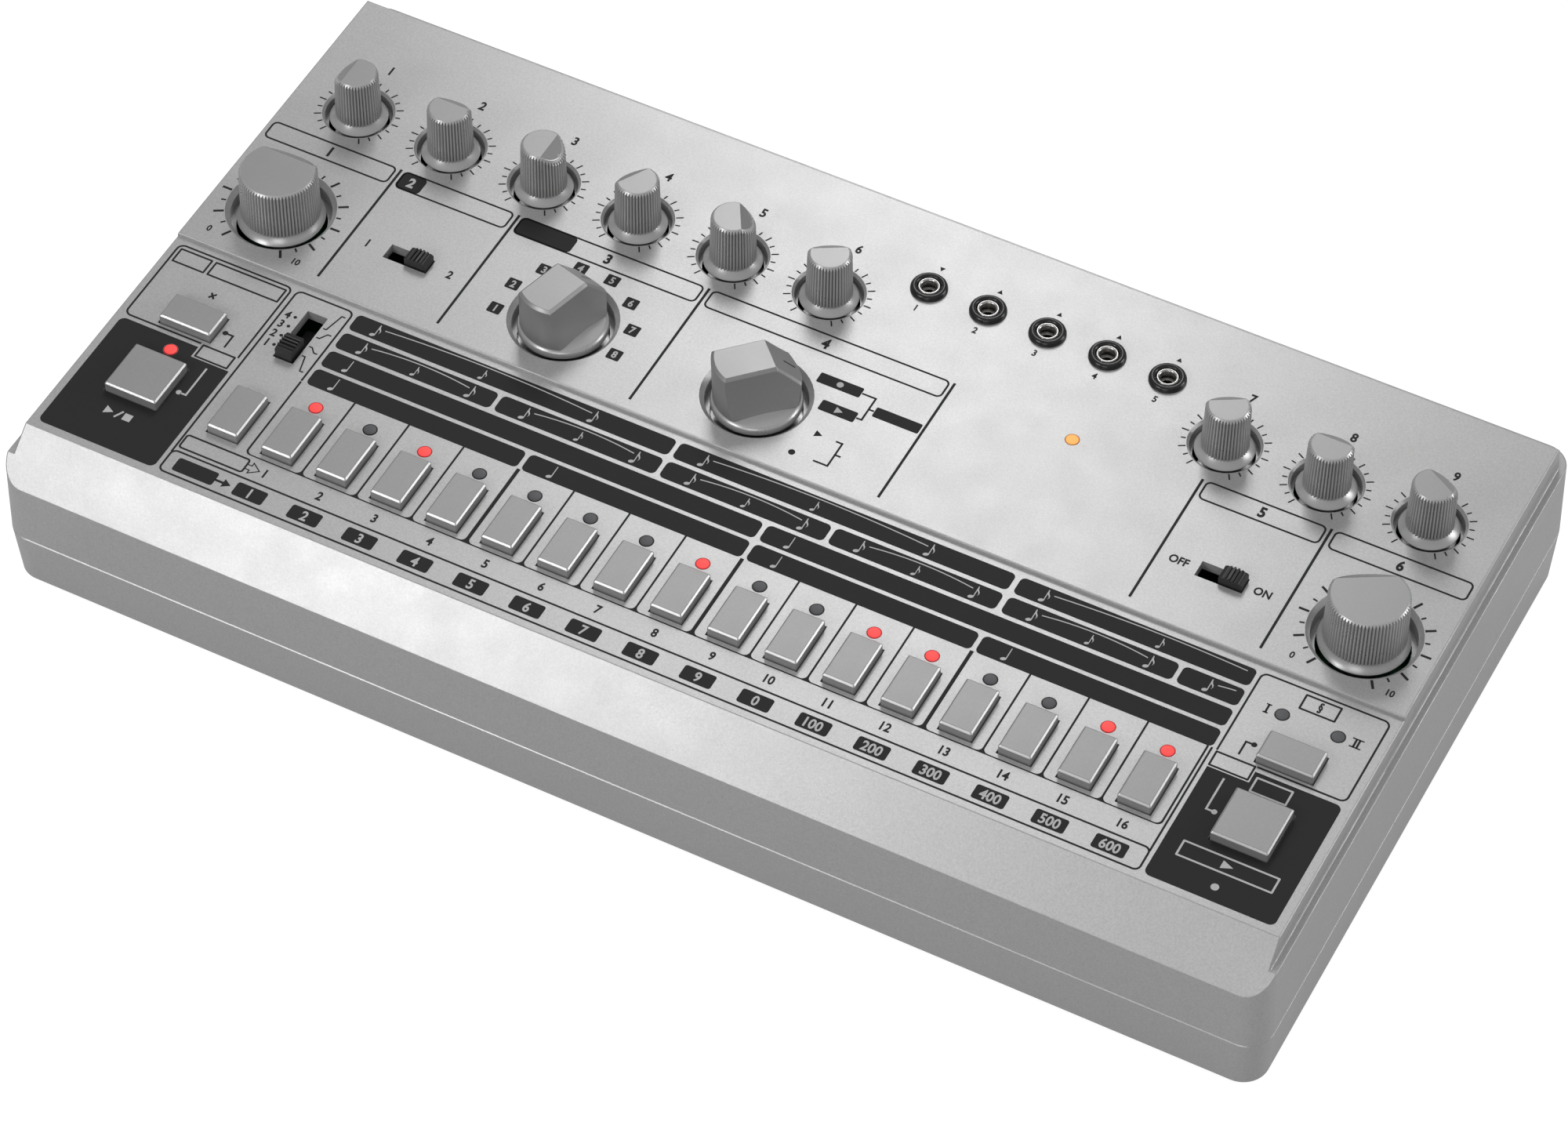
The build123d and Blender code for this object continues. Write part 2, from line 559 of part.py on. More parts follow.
# Rims of the plates, the ledge and the lip, rounded one after the other, because they run into each other
rounded_block = upper_block.part
for rim in (on_front_plate, at_panel_foot, on_case_rim, on_back_plate):
    rounded_block = rounded_block.fillet(EDGE_ROUND, rounded_block.edges().filter_by(rim))

with BuildPart() as upper_case:
    add(rounded_block)
    add(upper_space.part, mode=Mode.SUBTRACT)
    add(tongue_band.part, mode=Mode.SUBTRACT)
    # wells that the knobs turn in
    with BuildSketch(Plane.XY.offset(PANEL_Z)):
        with Locations(SMALL_WELLS):
            Circle(SMALL_WELL_R)
    extrude(amount=-SMALL_WELL_DEPTH, mode=Mode.SUBTRACT)
    with BuildSketch(Plane.XY.offset(PANEL_Z)):
        with Locations(LARGE_WELLS):
            Circle(LARGE_WELL_R)
    extrude(amount=-LARGE_WELL_DEPTH, mode=Mode.SUBTRACT)
    rims = upper_case.edges().filter_by(GeomType.CIRCLE).group_by(Axis.Z)[-1].group_by(SortBy.RADIUS)
    chamfer(rims[0], SMALL_WELL_RIM)
    chamfer(rims[1], LARGE_WELL_RIM)
    with BuildSketch(Plane.XY.offset(PANEL_Z)):
        with Locations(SMALL_WELLS):
            Circle(SMALL_WELL_HOLE_R)
        with Locations(LARGE_WELLS):
            Circle(LARGE_WELL_HOLE_R)
        with Locations([(x, JACK_ROW_Y) for x in JACK_XS]):
            Circle(JACK_SLEEVE_R + JACK_FIT)
        with Locations(*LIT_LAMPS, *DARK_LAMPS, TEMPO_LAMP):
            Circle(LAMP_HOLE_R)
        for _, x, y, width, length in KEYS:
            with Locations((x, y)):
                Rectangle(width + 2 * KEY_GAP, length + 2 * KEY_GAP)
        with Locations((SCALE_SLOT_X, SCALE_SLOT_Y)):
            Rectangle(SCALE_SLOT_WIDTH, SCALE_SLOT_LENGTH)
        with Locations((-SIDE_SLOT_X, SIDE_SLOT_Y), (SIDE_SLOT_X, SIDE_SLOT_Y)):
            Rectangle(SIDE_SLOT_LENGTH, SIDE_SLOT_WIDTH)
    extrude(amount=-(LARGE_WELL_DEPTH + WELL_FLOOR), mode=Mode.SUBTRACT)
    # pilot holes for the screws
    with BuildSketch(Plane.XY.offset(SEAM_Z)):
        with Locations(CASE_BOSSES):
            Circle(SCREW_R + SCREW_FIT)
    extrude(amount=SCREW_BITE + PILOT_SPARE, mode=Mode.SUBTRACT)
    with BuildSketch(Plane.XY.offset(CONTROL_BOARD_TOP)):
        with Locations(PANEL_POSTS):
            Circle(BOARD_SCREW_R + SCREW_FIT)
    extrude(amount=BOARD_SCREW_BITE + PILOT_SPARE, mode=Mode.SUBTRACT)
    # openings in the back wall for the sockets
    with BuildSketch(Plane.XZ.offset(-HALF_DEPTH)):
        with Locations((DC_X, MAIN_BOARD_TOP + DC_HEIGHT)):
            Circle(DC_BUSH_R + BUSH_FIT)
        with Locations((SWITCH_X, MAIN_BOARD_TOP + SWITCH_HEIGHT)):
            Rectangle(SWITCH_SLOT_WIDTH, SWITCH_SLOT_HEIGHT)
        with Locations((USB_X, MAIN_BOARD_TOP + USB_HEIGHT)):
            Rectangle(USB_SHELL[0] + 2 * BUSH_FIT, USB_SHELL[1] + 2 * BUSH_FIT)
        with Locations([(x, MAIN_BOARD_TOP + MIDI_HEIGHT) for x in MIDI_X]):
            Circle(MIDI_RING_R + BUSH_FIT)
        with Locations([(x, MAIN_BOARD_TOP + VOICE_HEIGHT) for x in VOICE_XS]):
            Circle(VOICE_BUSH_R + BUSH_FIT)
        with Locations((MIX_X, MAIN_BOARD_TOP + MIX_HEIGHT)):
            Circle(MIX_BUSH_R + BUSH_FIT)
    extrude(amount=2 * WALL, mode=Mode.SUBTRACT)
finish(upper_case, "upper_case")

# ------------------------------------------------------------------ lower case
with BuildPart() as lower_space:
    floor_z = CASE_BOTTOM + WALL
    side = lower_lean(floor_z, LOWER_DRAFT)
    add(case_plan(floor_z, side, lower_lean(floor_z, LOWER_FRONT_DRAFT), side, WALL))
    add(case_plan(SEAM_Z, 0, 0, 0, WALL))
    loft(ruled=True)
    with BuildSketch(Plane.XY.offset(CASE_BOTTOM)):
        with Locations(CASE_BOSSES):
            Circle(LOWER_BOSS_R)
    extrude(amount=LOWER_SHELL_HEIGHT, mode=Mode.SUBTRACT)
    with BuildSketch(Plane.XY.offset(CASE_BOTTOM)):
        with Locations(MAIN_POSTS):
            Circle(POST_R)
    extrude(amount=MAIN_BOARD_BOTTOM - CASE_BOTTOM, mode=Mode.SUBTRACT)

with BuildPart() as lower_case:
    add(case_plan(CASE_BOTTOM, LOWER_DRAFT, LOWER_FRONT_DRAFT, LOWER_DRAFT, BOTTOM_BEVEL))
    add(case_plan(CASE_BOTTOM + BOTTOM_BEVEL, LOWER_DRAFT, LOWER_FRONT_DRAFT, LOWER_DRAFT))
    add(case_plan(SEAM_Z - SEAM_CHAMFER, 0, 0, 0))
    add(case_plan(SEAM_Z, 0, 0, 0, SEAM_CHAMFER))
    loft(ruled=True)
    # tongue that locates the upper shell
    add(case_plan(SEAM_Z, 0, 0, 0, WALL - TONGUE_THICKNESS))
    extrude(amount=TONGUE_HEIGHT)
    add(case_plan(SEAM_Z, 0, 0, 0, WALL))
    extrude(amount=TONGUE_HEIGHT, mode=Mode.SUBTRACT)
    add(lower_space.part, mode=Mode.SUBTRACT)
    with BuildSketch(Plane.XY.offset(CASE_BOTTOM)):
        with Locations(CASE_BOSSES):
            Circle(SCREW_CLEARANCE_R)
    extrude(amount=LOWER_SHELL_HEIGHT, mode=Mode.SUBTRACT)
    with BuildSketch(Plane.XY.offset(CASE_BOTTOM)):
        with Locations(CASE_BOSSES):
            Circle(COUNTERBORE_R)
    extrude(amount=COUNTERBORE_DEPTH, mode=Mode.SUBTRACT)
    with BuildSketch(Plane.XY.offset(MAIN_BOARD_BOTTOM)):
        with Locations(MAIN_POSTS):
            Circle(BOARD_SCREW_R + SCREW_FIT)
    extrude(amount=-(BOARD_SCREW_BITE + PILOT_SPARE), mode=Mode.SUBTRACT)
    with BuildSketch(Plane.XY.offset(CASE_BOTTOM)):
        with Locations(FOOT_POSITIONS):
            Circle(FOOT_R)
    extrude(amount=FOOT_RECESS, mode=Mode.SUBTRACT)
finish(lower_case, "lower_case")

with BuildPart() as rubber_feet:
    with BuildSketch():
        with Locations(FOOT_POSITIONS):
            Circle(FOOT_R)
    extrude(amount=FOOT_HEIGHT + FOOT_RECESS)
finish(rubber_feet, "rubber_feet")


# ------------------------------------------------------------------ screws
def screws(points, seat, shank_r, head_r, head_height, length, turned=1):
    """Pan-head screws: heads stand at a seat height, shanks run away from it (up when turned is 1)."""
    with BuildPart() as group:
        with BuildSketch(Plane.XY.offset(seat)):
            with Locations(points):
                Circle(shank_r)
        extrude(amount=turned * length)
        with BuildSketch(Plane.XY.offset(seat)):
            with Locations(points):
                Circle(head_r)
        extrude(amount=-turned * head_height)
    return group


case_screws = screws(
    CASE_BOSSES,
    CASE_BOTTOM + COUNTERBORE_DEPTH,
    SCREW_R,
    SCREW_HEAD_R,
    SCREW_HEAD_HEIGHT,
    SEAM_Z - CASE_BOTTOM - COUNTERBORE_DEPTH + SCREW_BITE,
)
finish(case_screws, "case_screws")

panel_screws = screws(
    PANEL_POSTS,
    CONTROL_BOARD_BOTTOM,
    BOARD_SCREW_R,
    BOARD_SCREW_HEAD_R,
    BOARD_SCREW_HEAD_HEIGHT,
    BOARD_THICKNESS + BOARD_SCREW_BITE,
)
main_screws = screws(
    MAIN_POSTS,
    MAIN_BOARD_TOP,
    BOARD_SCREW_R,
    BOARD_SCREW_HEAD_R,
    BOARD_SCREW_HEAD_HEIGHT,
    BOARD_THICKNESS + BOARD_SCREW_BITE,
    turned=-1,
)
with BuildPart() as board_screws:
    add(panel_screws.part)
    add(main_screws.part)
finish(board_screws, "board_screws")

# ------------------------------------------------------------------ boards
with BuildPart() as control_board:
    with BuildSketch(Plane.XY.offset(CONTROL_BOARD_BOTTOM)):
        with Locations((0, (CONTROL_BOARD_FRONT + CONTROL_BOARD_BACK) / 2)):
            Rectangle(2 * CONTROL_BOARD_HALF_WIDTH, CONTROL_BOARD_BACK - CONTROL_BOARD_FRONT)
        with Locations(PANEL_POSTS):
            Circle(BOARD_SCREW_R + SCREW_FIT, mode=Mode.SUBTRACT)
    extrude(amount=BOARD_THICKNESS)
finish(control_board, "control_board")

with BuildPart() as main_board:
    with BuildSketch(Plane.XY.offset(MAIN_BOARD_BOTTOM)):
        with Locations((0, (MAIN_BOARD_FRONT + MAIN_BOARD_BACK) / 2)):
            Rectangle(2 * MAIN_BOARD_HALF_WIDTH, MAIN_BOARD_BACK - MAIN_BOARD_FRONT)
        with Locations(MAIN_POSTS):
            Circle(BOARD_SCREW_R + SCREW_FIT, mode=Mode.SUBTRACT)
        with Locations([(x, y) for x, y in CASE_BOSSES if y > 0]):
            Circle(LOWER_BOSS_R + BOARD_CLEARANCE, mode=Mode.SUBTRACT)
    extrude(amount=BOARD_THICKNESS)
finish(main_board, "main_board")

with BuildPart() as board_link:
    with BuildSketch(Plane.XY.offset(MAIN_BOARD_TOP)):
        with Locations(LINK_CENTRE):
            Rectangle(LINK_WIDTH, LINK_DEPTH)
    extrude(amount=LINK_SOCKET_HEIGHT)
    with BuildSketch(Plane.XY.offset(CONTROL_BOARD_BOTTOM)):
        with Locations(LINK_CENTRE):
            Rectangle(LINK_WIDTH, LINK_DEPTH)
    extrude(amount=-(CONTROL_BOARD_BOTTOM - MAIN_BOARD_TOP - LINK_SOCKET_HEIGHT - LINK_PLAY))
finish(board_link, "board_link")

# ------------------------------------------------------------------ potentiometers and rotary switches
with BuildPart() as potentiometers:
    with BuildSketch(Plane.XY.offset(CONTROL_BOARD_TOP)):
        with Locations(*SMALL_WELLS, *LARGE_WELLS[:2]):
            Rectangle(POT_WIDTH, POT_WIDTH)
    extrude(amount=POT_HEIGHT)
    with BuildSketch(Plane.XY.offset(CONTROL_BOARD_TOP + POT_HEIGHT)):
        with Locations(*SMALL_WELLS, *LARGE_WELLS[:2]):
            Circle(SHAFT_R + SHAFT_FIT)
    extrude(amount=-(POT_HEIGHT - SHAFT_FOOT_GAP / 2), mode=Mode.SUBTRACT)
finish(potentiometers, "potentiometers")

with BuildPart() as rotary_switches:
    with BuildSketch(Plane.XY.offset(CONTROL_BOARD_TOP)):
        with Locations(LARGE_WELLS[2:]):
            RegularPolygon(ROTARY_R, ROTARY_SIDES)
    extrude(amount=ROTARY_HEIGHT)
    with BuildSketch(Plane.XY.offset(CONTROL_BOARD_TOP + ROTARY_HEIGHT)):
        with Locations(LARGE_WELLS[2:]):
            Circle(SHAFT_R + SHAFT_FIT)
    extrude(amount=-(ROTARY_HEIGHT - SHAFT_FOOT_GAP / 2), mode=Mode.SUBTRACT)
finish(rotary_switches, "rotary_switches")

# D-section shaft that turns in its control and carries a knob; its flat looks along +X like the pointer
with BuildPart() as control_shaft:
    add(d_section(SHAFT_R, SHAFT_FLAT).moved(Location((0, 0, CONTROL_BOARD_TOP + SHAFT_FOOT_GAP))))
    extrude(amount=PANEL_Z + BORE_TOP - BORE_END_GAP - CONTROL_BOARD_TOP - SHAFT_FOOT_GAP)


# ------------------------------------------------------------------ knurled knobs
def facet_plane(ridge, top_z, drop):
    """Plane of a pointer's facet: it leaves the flat top at the ridge and drops towards +X."""
    slope = radians(drop)
    return Plane(origin=(ridge, 0, top_z), x_dir=(0, 1, 0), z_dir=(sin(slope), 0, cos(slope)))


def knurled_cap(teeth, foot_r, top_r, base, top, bevel, ridge, drop, skirt_r, flare_r, skirt_edge, foot):
    """Knob cap on the Z axis, heights from the back plate, pointer along +X.

    A tapered knurl stands on a flared skirt.  The top is cut by a sloping facet that points, and one
    bevel runs round the flat top and down both sides of the facet.
    """
    floor_z = PANEL_Z + base
    top_z = PANEL_Z + top
    with BuildPart() as blank:
        with BuildSketch(Plane.XZ):
            with BuildLine():
                Polyline(
                    (0, floor_z),
                    (foot_r + BLANK_MARGIN, floor_z),
                    (top_r + BLANK_MARGIN, top_z),
                    (0, top_z),
                    close=True,
                )
            make_face()
        revolve(axis=Axis.Z)
        with BuildSketch(facet_plane(ridge, top_z, drop)):
            Rectangle(4 * foot_r, 8 * foot_r)
        extrude(amount=2 * foot_r, mode=Mode.SUBTRACT)
        top_faces = blank.faces().filter_by(GeomType.PLANE).sort_by(Axis.Z)[1:]
        chamfer(top_faces.edges().filter_by(GeomType.LINE, reverse=True), bevel)
    with BuildPart() as cap:
        for height, radius in ((base, foot_r), (top, top_r)):
            with BuildSketch(Plane.XY.offset(PANEL_Z + height)):
                Polygon(*tooth_ring(teeth, radius, TOOTH_DEPTH), align=None)
        loft(ruled=True)
        add(blank.part, mode=Mode.INTERSECT)
        # flared skirt with a rounded, undercut edge
        with BuildSketch(Plane.XZ):
            with BuildLine():
                Line((0, floor_z), (foot_r, floor_z))
                edge_z = PANEL_Z + skirt_edge
                RadiusArc((foot_r, floor_z), (skirt_r, edge_z), flare_r)
                undercut = (skirt_r - (skirt_edge - foot) / 2, PANEL_Z + foot)
                Polyline((skirt_r, edge_z), undercut, (0, PANEL_Z + foot), (0, floor_z))
            make_face()
        revolve(axis=Axis.Z)
        # notch at the low end of the facet
        low_z = top_z - (top_r - ridge) * tan(radians(drop))
        with BuildSketch(Plane.XY.offset(low_z - 2 * POINTER_NOTCH_DEPTH)):
            with Locations((foot_r, 0)):
                Rectangle(4 * POINTER_NOTCH_DEPTH, POINTER_NOTCH_WIDTH)
        extrude(amount=top_z - low_z, mode=Mode.SUBTRACT)
        # bore for the shaft
        with BuildSketch(Plane.XY.offset(PANEL_Z + foot)):
            add(d_section(SHAFT_R + SHAFT_FIT, SHAFT_FLAT + SHAFT_FIT))
        extrude(amount=BORE_TOP - foot, mode=Mode.SUBTRACT)
    return cap


def mounted(name, cap, x, y, pointer):
    """A cap and its shaft, set on the panel with the pointer looking the given way."""
    with BuildPart() as knob:
        with Locations(Location((x, y, 0), (0, 0, pointer))):
            add(cap.part)
            add(control_shaft.part)
    finish(knob, name)


small_cap = knurled_cap(
    SMALL_TEETH,
    SMALL_GRIP_R,
    SMALL_GRIP_TOP_R,
    SMALL_GRIP_BASE,
    SMALL_KNOB_TOP,
    SMALL_TOP_BEVEL,
    SMALL_RIDGE,
    SMALL_FACET_DROP,
    SMALL_SKIRT_R,
    SMALL_FLARE_R,
    SMALL_SKIRT_EDGE,
    SMALL_KNOB_FOOT,
)
for knob_name, knob_x, pointer_angle in SMALL_KNOBS:
    mounted(knob_name, small_cap, knob_x, KNOB_ROW_Y, pointer_angle)

large_cap = knurled_cap(
    LARGE_TEETH,
    LARGE_GRIP_R,
    LARGE_GRIP_TOP_R,
    LARGE_GRIP_BASE,
    LARGE_KNOB_TOP,
    LARGE_TOP_BEVEL,
    LARGE_RIDGE,
    LARGE_FACET_DROP,
    LARGE_SKIRT_R,
    LARGE_FLARE_R,
    LARGE_SKIRT_EDGE,
    LARGE_KNOB_FOOT,
)
for knob_name, knob_x, pointer_angle in LARGE_KNOBS:
    mounted(knob_name, large_cap, knob_x, SELECTOR_ROW_Y, pointer_angle)

# ------------------------------------------------------------------ selector knobs
# A tapered drum, cut down on both sides to leave a bar, with a sloping facet at its pointing end
with BuildPart() as selector_cap:
    shelf_z = PANEL_Z + SELECTOR_SHELF
    crown_z = PANEL_Z + SELECTOR_TOP
    with BuildSketch(Plane.XZ):
        with BuildLine():
            Polyline(
                (0, PANEL_Z + SELECTOR_FOOT),
                (SELECTOR_FOOT_R, PANEL_Z + SELECTOR_FOOT),
                (SELECTOR_SHELF_R, shelf_z),
                (SELECTOR_TOP_R, crown_z),
                (0, crown_z),
                close=True,
            )
        make_face()
    revolve(axis=Axis.Z)
    for hand in (1, -1):
        with BuildSketch(Plane.YZ):
            with BuildLine():
                middle = (BAR_FOOT_HALF + BAR_TOP_HALF) / 2 - BAR_HOLLOW
                ThreePointArc(
                    (hand * BAR_FOOT_HALF, shelf_z),
                    (hand * middle, (shelf_z + crown_z) / 2),
                    (hand * BAR_TOP_HALF, crown_z),
                )
                Polyline(
                    (hand * BAR_TOP_HALF, crown_z),
                    (hand * 2 * SELECTOR_FOOT_R, crown_z),
                    (hand * 2 * SELECTOR_FOOT_R, shelf_z),
                    (hand * BAR_FOOT_HALF, shelf_z),
                )
            make_face()
        extrude(amount=2 * SELECTOR_FOOT_R, both=True, mode=Mode.SUBTRACT)
    facet = facet_plane(SELECTOR_RIDGE, crown_z, SELECTOR_FACET_DROP)
    with BuildSketch(facet):
        Rectangle(4 * SELECTOR_FOOT_R, 4 * SELECTOR_FOOT_R)
    extrude(amount=2 * SELECTOR_FOOT_R, mode=Mode.SUBTRACT)
    # bevel along both sides of the top and the facet, and round the rear end
    slant, crown = selector_cap.faces().filter_by(GeomType.PLANE).sort_by(Axis.Z)[-2:]
    rims = crown.edges() + slant.edges()
    bevelled = rims.filter_by(lambda rim: rim.center().X < 0 or abs(rim.center().Y) > SELECTOR_BEVEL)
    chamfer(bevelled, SELECTOR_BEVEL)
    # line sunk into the low end of the facet
    with BuildSketch(facet):
        with Locations((0, -SELECTOR_MARK_START)):
            Rectangle(SELECTOR_MARK_WIDTH, 2 * SELECTOR_FOOT_R, align=(Align.CENTER, Align.MAX))
    extrude(amount=-SELECTOR_MARK_DEPTH, mode=Mode.SUBTRACT)
    with BuildSketch(Plane.XY.offset(PANEL_Z + SELECTOR_FOOT)):
        add(d_section(SHAFT_R + SHAFT_FIT, SHAFT_FLAT + SHAFT_FIT))
    extrude(amount=BORE_TOP - SELECTOR_FOOT, mode=Mode.SUBTRACT)

for knob_name, knob_x, pointer_angle in SELECTORS:
    mounted(knob_name, selector_cap, knob_x, SELECTOR_ROW_Y, pointer_angle)

# ------------------------------------------------------------------ keys and the switches under them
with BuildPart() as tact_switches:
    key_points = [(x, y) for _, x, y, _, _ in KEYS]
    with BuildSketch(Plane.XY.offset(CONTROL_BOARD_TOP)):
        with Locations(key_points):
            Rectangle(TACT_SIZE, TACT_SIZE)
    extrude(amount=TACT_HEIGHT)
    with BuildSketch(Plane.XY.offset(CONTROL_BOARD_TOP + TACT_HEIGHT)):
        with Locations(key_points):
            Rectangle(TACT_PLUNGER + 2 * TACT_FIT, TACT_PLUNGER + 2 * TACT_FIT)
    extrude(amount=-(TACT_PLUNGER_DEPTH + KEY_TRAVEL + TACT_FIT), mode=Mode.SUBTRACT)
finish(tact_switches, "tact_switches")

plunger_top = CONTROL_BOARD_TOP + TACT_HEIGHT + TACT_PLUNGER_STAND
flange_top = FRONT_PLATE_Z - WALL - KEY_STOP_GAP
for key_name, key_x, key_y, key_width, key_length in KEYS:
    at_key = Plane((key_x, key_y, 0))
    with BuildPart() as key:
        # cap through the plate, with a bevelled top
        with BuildSketch(at_key.offset(flange_top)):
            Rectangle(key_width, key_length)
        extrude(amount=FRONT_PLATE_Z + KEY_STAND - flange_top)
        chamfer(key.faces().sort_by(Axis.Z)[-1].edges(), KEY_BEVEL)
        # flange that holds it under the plate, and the stem down to the switch
        with BuildSketch(at_key.offset(flange_top)):
            Rectangle(key_width + 2 * KEY_FLANGE, key_length + 2 * KEY_FLANGE)
        extrude(amount=-KEY_FLANGE_THICKNESS)
        with BuildSketch(at_key.offset(plunger_top + PLUNGER_PLAY)):
            Rectangle(KEY_STEM, KEY_STEM)
        extrude(amount=flange_top - KEY_FLANGE_THICKNESS - plunger_top - PLUNGER_PLAY)
        # the switch's own plunger moves with the key
        with BuildSketch(at_key.offset(plunger_top)):
            Rectangle(TACT_PLUNGER, TACT_PLUNGER)
        extrude(amount=-(TACT_PLUNGER_STAND + TACT_PLUNGER_DEPTH))
    finish(key, key_name)


# ------------------------------------------------------------------ slide switches
def slide_lever(name, plate_z, length, width, stand, centre, along):
    """Ribbed lever with an arched top; it stands in its slot with a stem down into the switch body."""
    rib_pitch = length / (LEVER_RIBS + 1)
    base_z = plate_z - WALL / 2
    place = Plane(origin=(*centre, 0), x_dir=along, z_dir=(0, 0, 1))
    side = Plane(origin=place.origin, x_dir=place.x_dir, z_dir=-place.y_dir)
    with BuildPart() as lever:
        with BuildSketch(side):
            with BuildLine():
                shoulder = plate_z + stand - LEVER_ARCH
                half = length / 2
                Polyline((-half, shoulder), (-half, base_z), (half, base_z), (half, shoulder))
                ThreePointArc((half, shoulder), (0, plate_z + stand), (-half, shoulder))
            make_face()
            for i in range(LEVER_RIBS):
                with Locations(((i - (LEVER_RIBS - 1) / 2) * rib_pitch, plate_z + stand)):
                    Rectangle(rib_pitch / 2, 2 * LEVER_RIB_DEPTH, mode=Mode.SUBTRACT)
        extrude(amount=width / 2, both=True)
        with BuildSketch(place.offset(base_z)):
            Rectangle(LEVER_STEM, LEVER_STEM)
        extrude(amount=-(base_z - CONTROL_BOARD_TOP - SHAFT_FOOT_GAP))
    finish(lever, name)


LEVERS = (
    (
        "voice_select_lever",
        PANEL_Z,
        SIDE_LEVER_LENGTH,
        SIDE_LEVER_WIDTH,
        SIDE_LEVER_STAND,
        (-SIDE_SLOT_X + SIDE_TRAVEL / 2, SIDE_SLOT_Y),
        (1, 0, 0),
    ),
    (
        "distortion_lever",
        PANEL_Z,
        SIDE_LEVER_LENGTH,
        SIDE_LEVER_WIDTH,
        SIDE_LEVER_STAND,
        (SIDE_SLOT_X + SIDE_TRAVEL / 2, SIDE_SLOT_Y),
        (1, 0, 0),
    ),
    (
        "scale_lever",
        FRONT_PLATE_Z,
        SCALE_LEVER_LENGTH,
        SCALE_LEVER_WIDTH,
        SCALE_LEVER_STAND,
        (SCALE_SLOT_X, SCALE_SLOT_Y - SCALE_TRAVEL / 2),
        (0, 1, 0),
    ),
)
for lever_values in LEVERS:
    slide_lever(*lever_values)

with BuildPart() as slide_switch_bodies:
    slides = (
        ((-SIDE_SLOT_X, SIDE_SLOT_Y), SIDE_TRAVEL + LEVER_STEM, LEVER_STEM),
        ((SIDE_SLOT_X, SIDE_SLOT_Y), SIDE_TRAVEL + LEVER_STEM, LEVER_STEM),
        ((SCALE_SLOT_X, SCALE_SLOT_Y), LEVER_STEM, SCALE_TRAVEL + LEVER_STEM),
    )
    for centre, span_x, span_y in slides:
        with BuildSketch(Plane.XY.offset(CONTROL_BOARD_TOP)):
            with Locations(centre):
                Rectangle(span_x + 2 * SLIDE_BODY_MARGIN, span_y + 2 * SLIDE_BODY_MARGIN)
        extrude(amount=SLIDE_BODY_HEIGHT)
    for centre, span_x, span_y in slides:
        with BuildSketch(Plane.XY.offset(CONTROL_BOARD_TOP + SLIDE_BODY_HEIGHT)):
            with Locations(centre):
                Rectangle(span_x + 2 * LEVER_FIT, span_y + 2 * LEVER_FIT)
        extrude(amount=-(SLIDE_BODY_HEIGHT - SHAFT_FOOT_GAP / 2), mode=Mode.SUBTRACT)
finish(slide_switch_bodies, "slide_switch_bodies")


# ------------------------------------------------------------------ lamps
def lamps(name, points, plate_z):
    """Flat-topped light pipes from the control board up through the plate."""
    with BuildPart() as group:
        with BuildSketch(Plane.XY.offset(CONTROL_BOARD_TOP)):
            with Locations(points):
                Circle(LAMP_R)
        extrude(amount=plate_z + LAMP_STAND - CONTROL_BOARD_TOP)
        chamfer(group.faces().group_by(Axis.Z)[-1].edges(), LAMP_BEVEL)
    finish(group, name)


lamps("leds_red_lit", LIT_LAMPS, FRONT_PLATE_Z)
lamps("leds_red_unlit", DARK_LAMPS, FRONT_PLATE_Z)
lamps("led_amber", [TEMPO_LAMP], PANEL_Z)

# ------------------------------------------------------------------ sockets on the panel
jack_points = [(x, JACK_ROW_Y) for x in JACK_XS]
with BuildPart() as jack_collar:
    with BuildSketch(Plane.XZ):
        with BuildLine():
            collar_top = PANEL_Z + JACK_COLLAR_HEIGHT
            Polyline(
                (JACK_SLEEVE_R + JACK_FIT, PANEL_Z),
                (JACK_COLLAR_R, PANEL_Z),
                (JACK_COLLAR_TOP_R, collar_top - JACK_COLLAR_ROUND),
                (JACK_COLLAR_TOP_R - JACK_COLLAR_ROUND, collar_top),
                (JACK_SLEEVE_R + JACK_FIT, collar_top),
                close=True,
            )
        make_face()
    revolve(axis=Axis.Z)

with BuildPart() as jack_collars:
    with Locations([(x, JACK_ROW_Y, 0) for x in JACK_XS]):
        add(jack_collar.part)
finish(jack_collars, "jack_collars")

with BuildPart() as jack_sleeves:
    with BuildSketch(Plane.XY.offset(PANEL_Z + JACK_SLEEVE_STAND)):
        with Locations(jack_points):
            Circle(JACK_SLEEVE_R)
            Circle(JACK_BORE_R, mode=Mode.SUBTRACT)
    extrude(amount=-JACK_SLEEVE_LENGTH)
finish(jack_sleeves, "jack_sleeves")

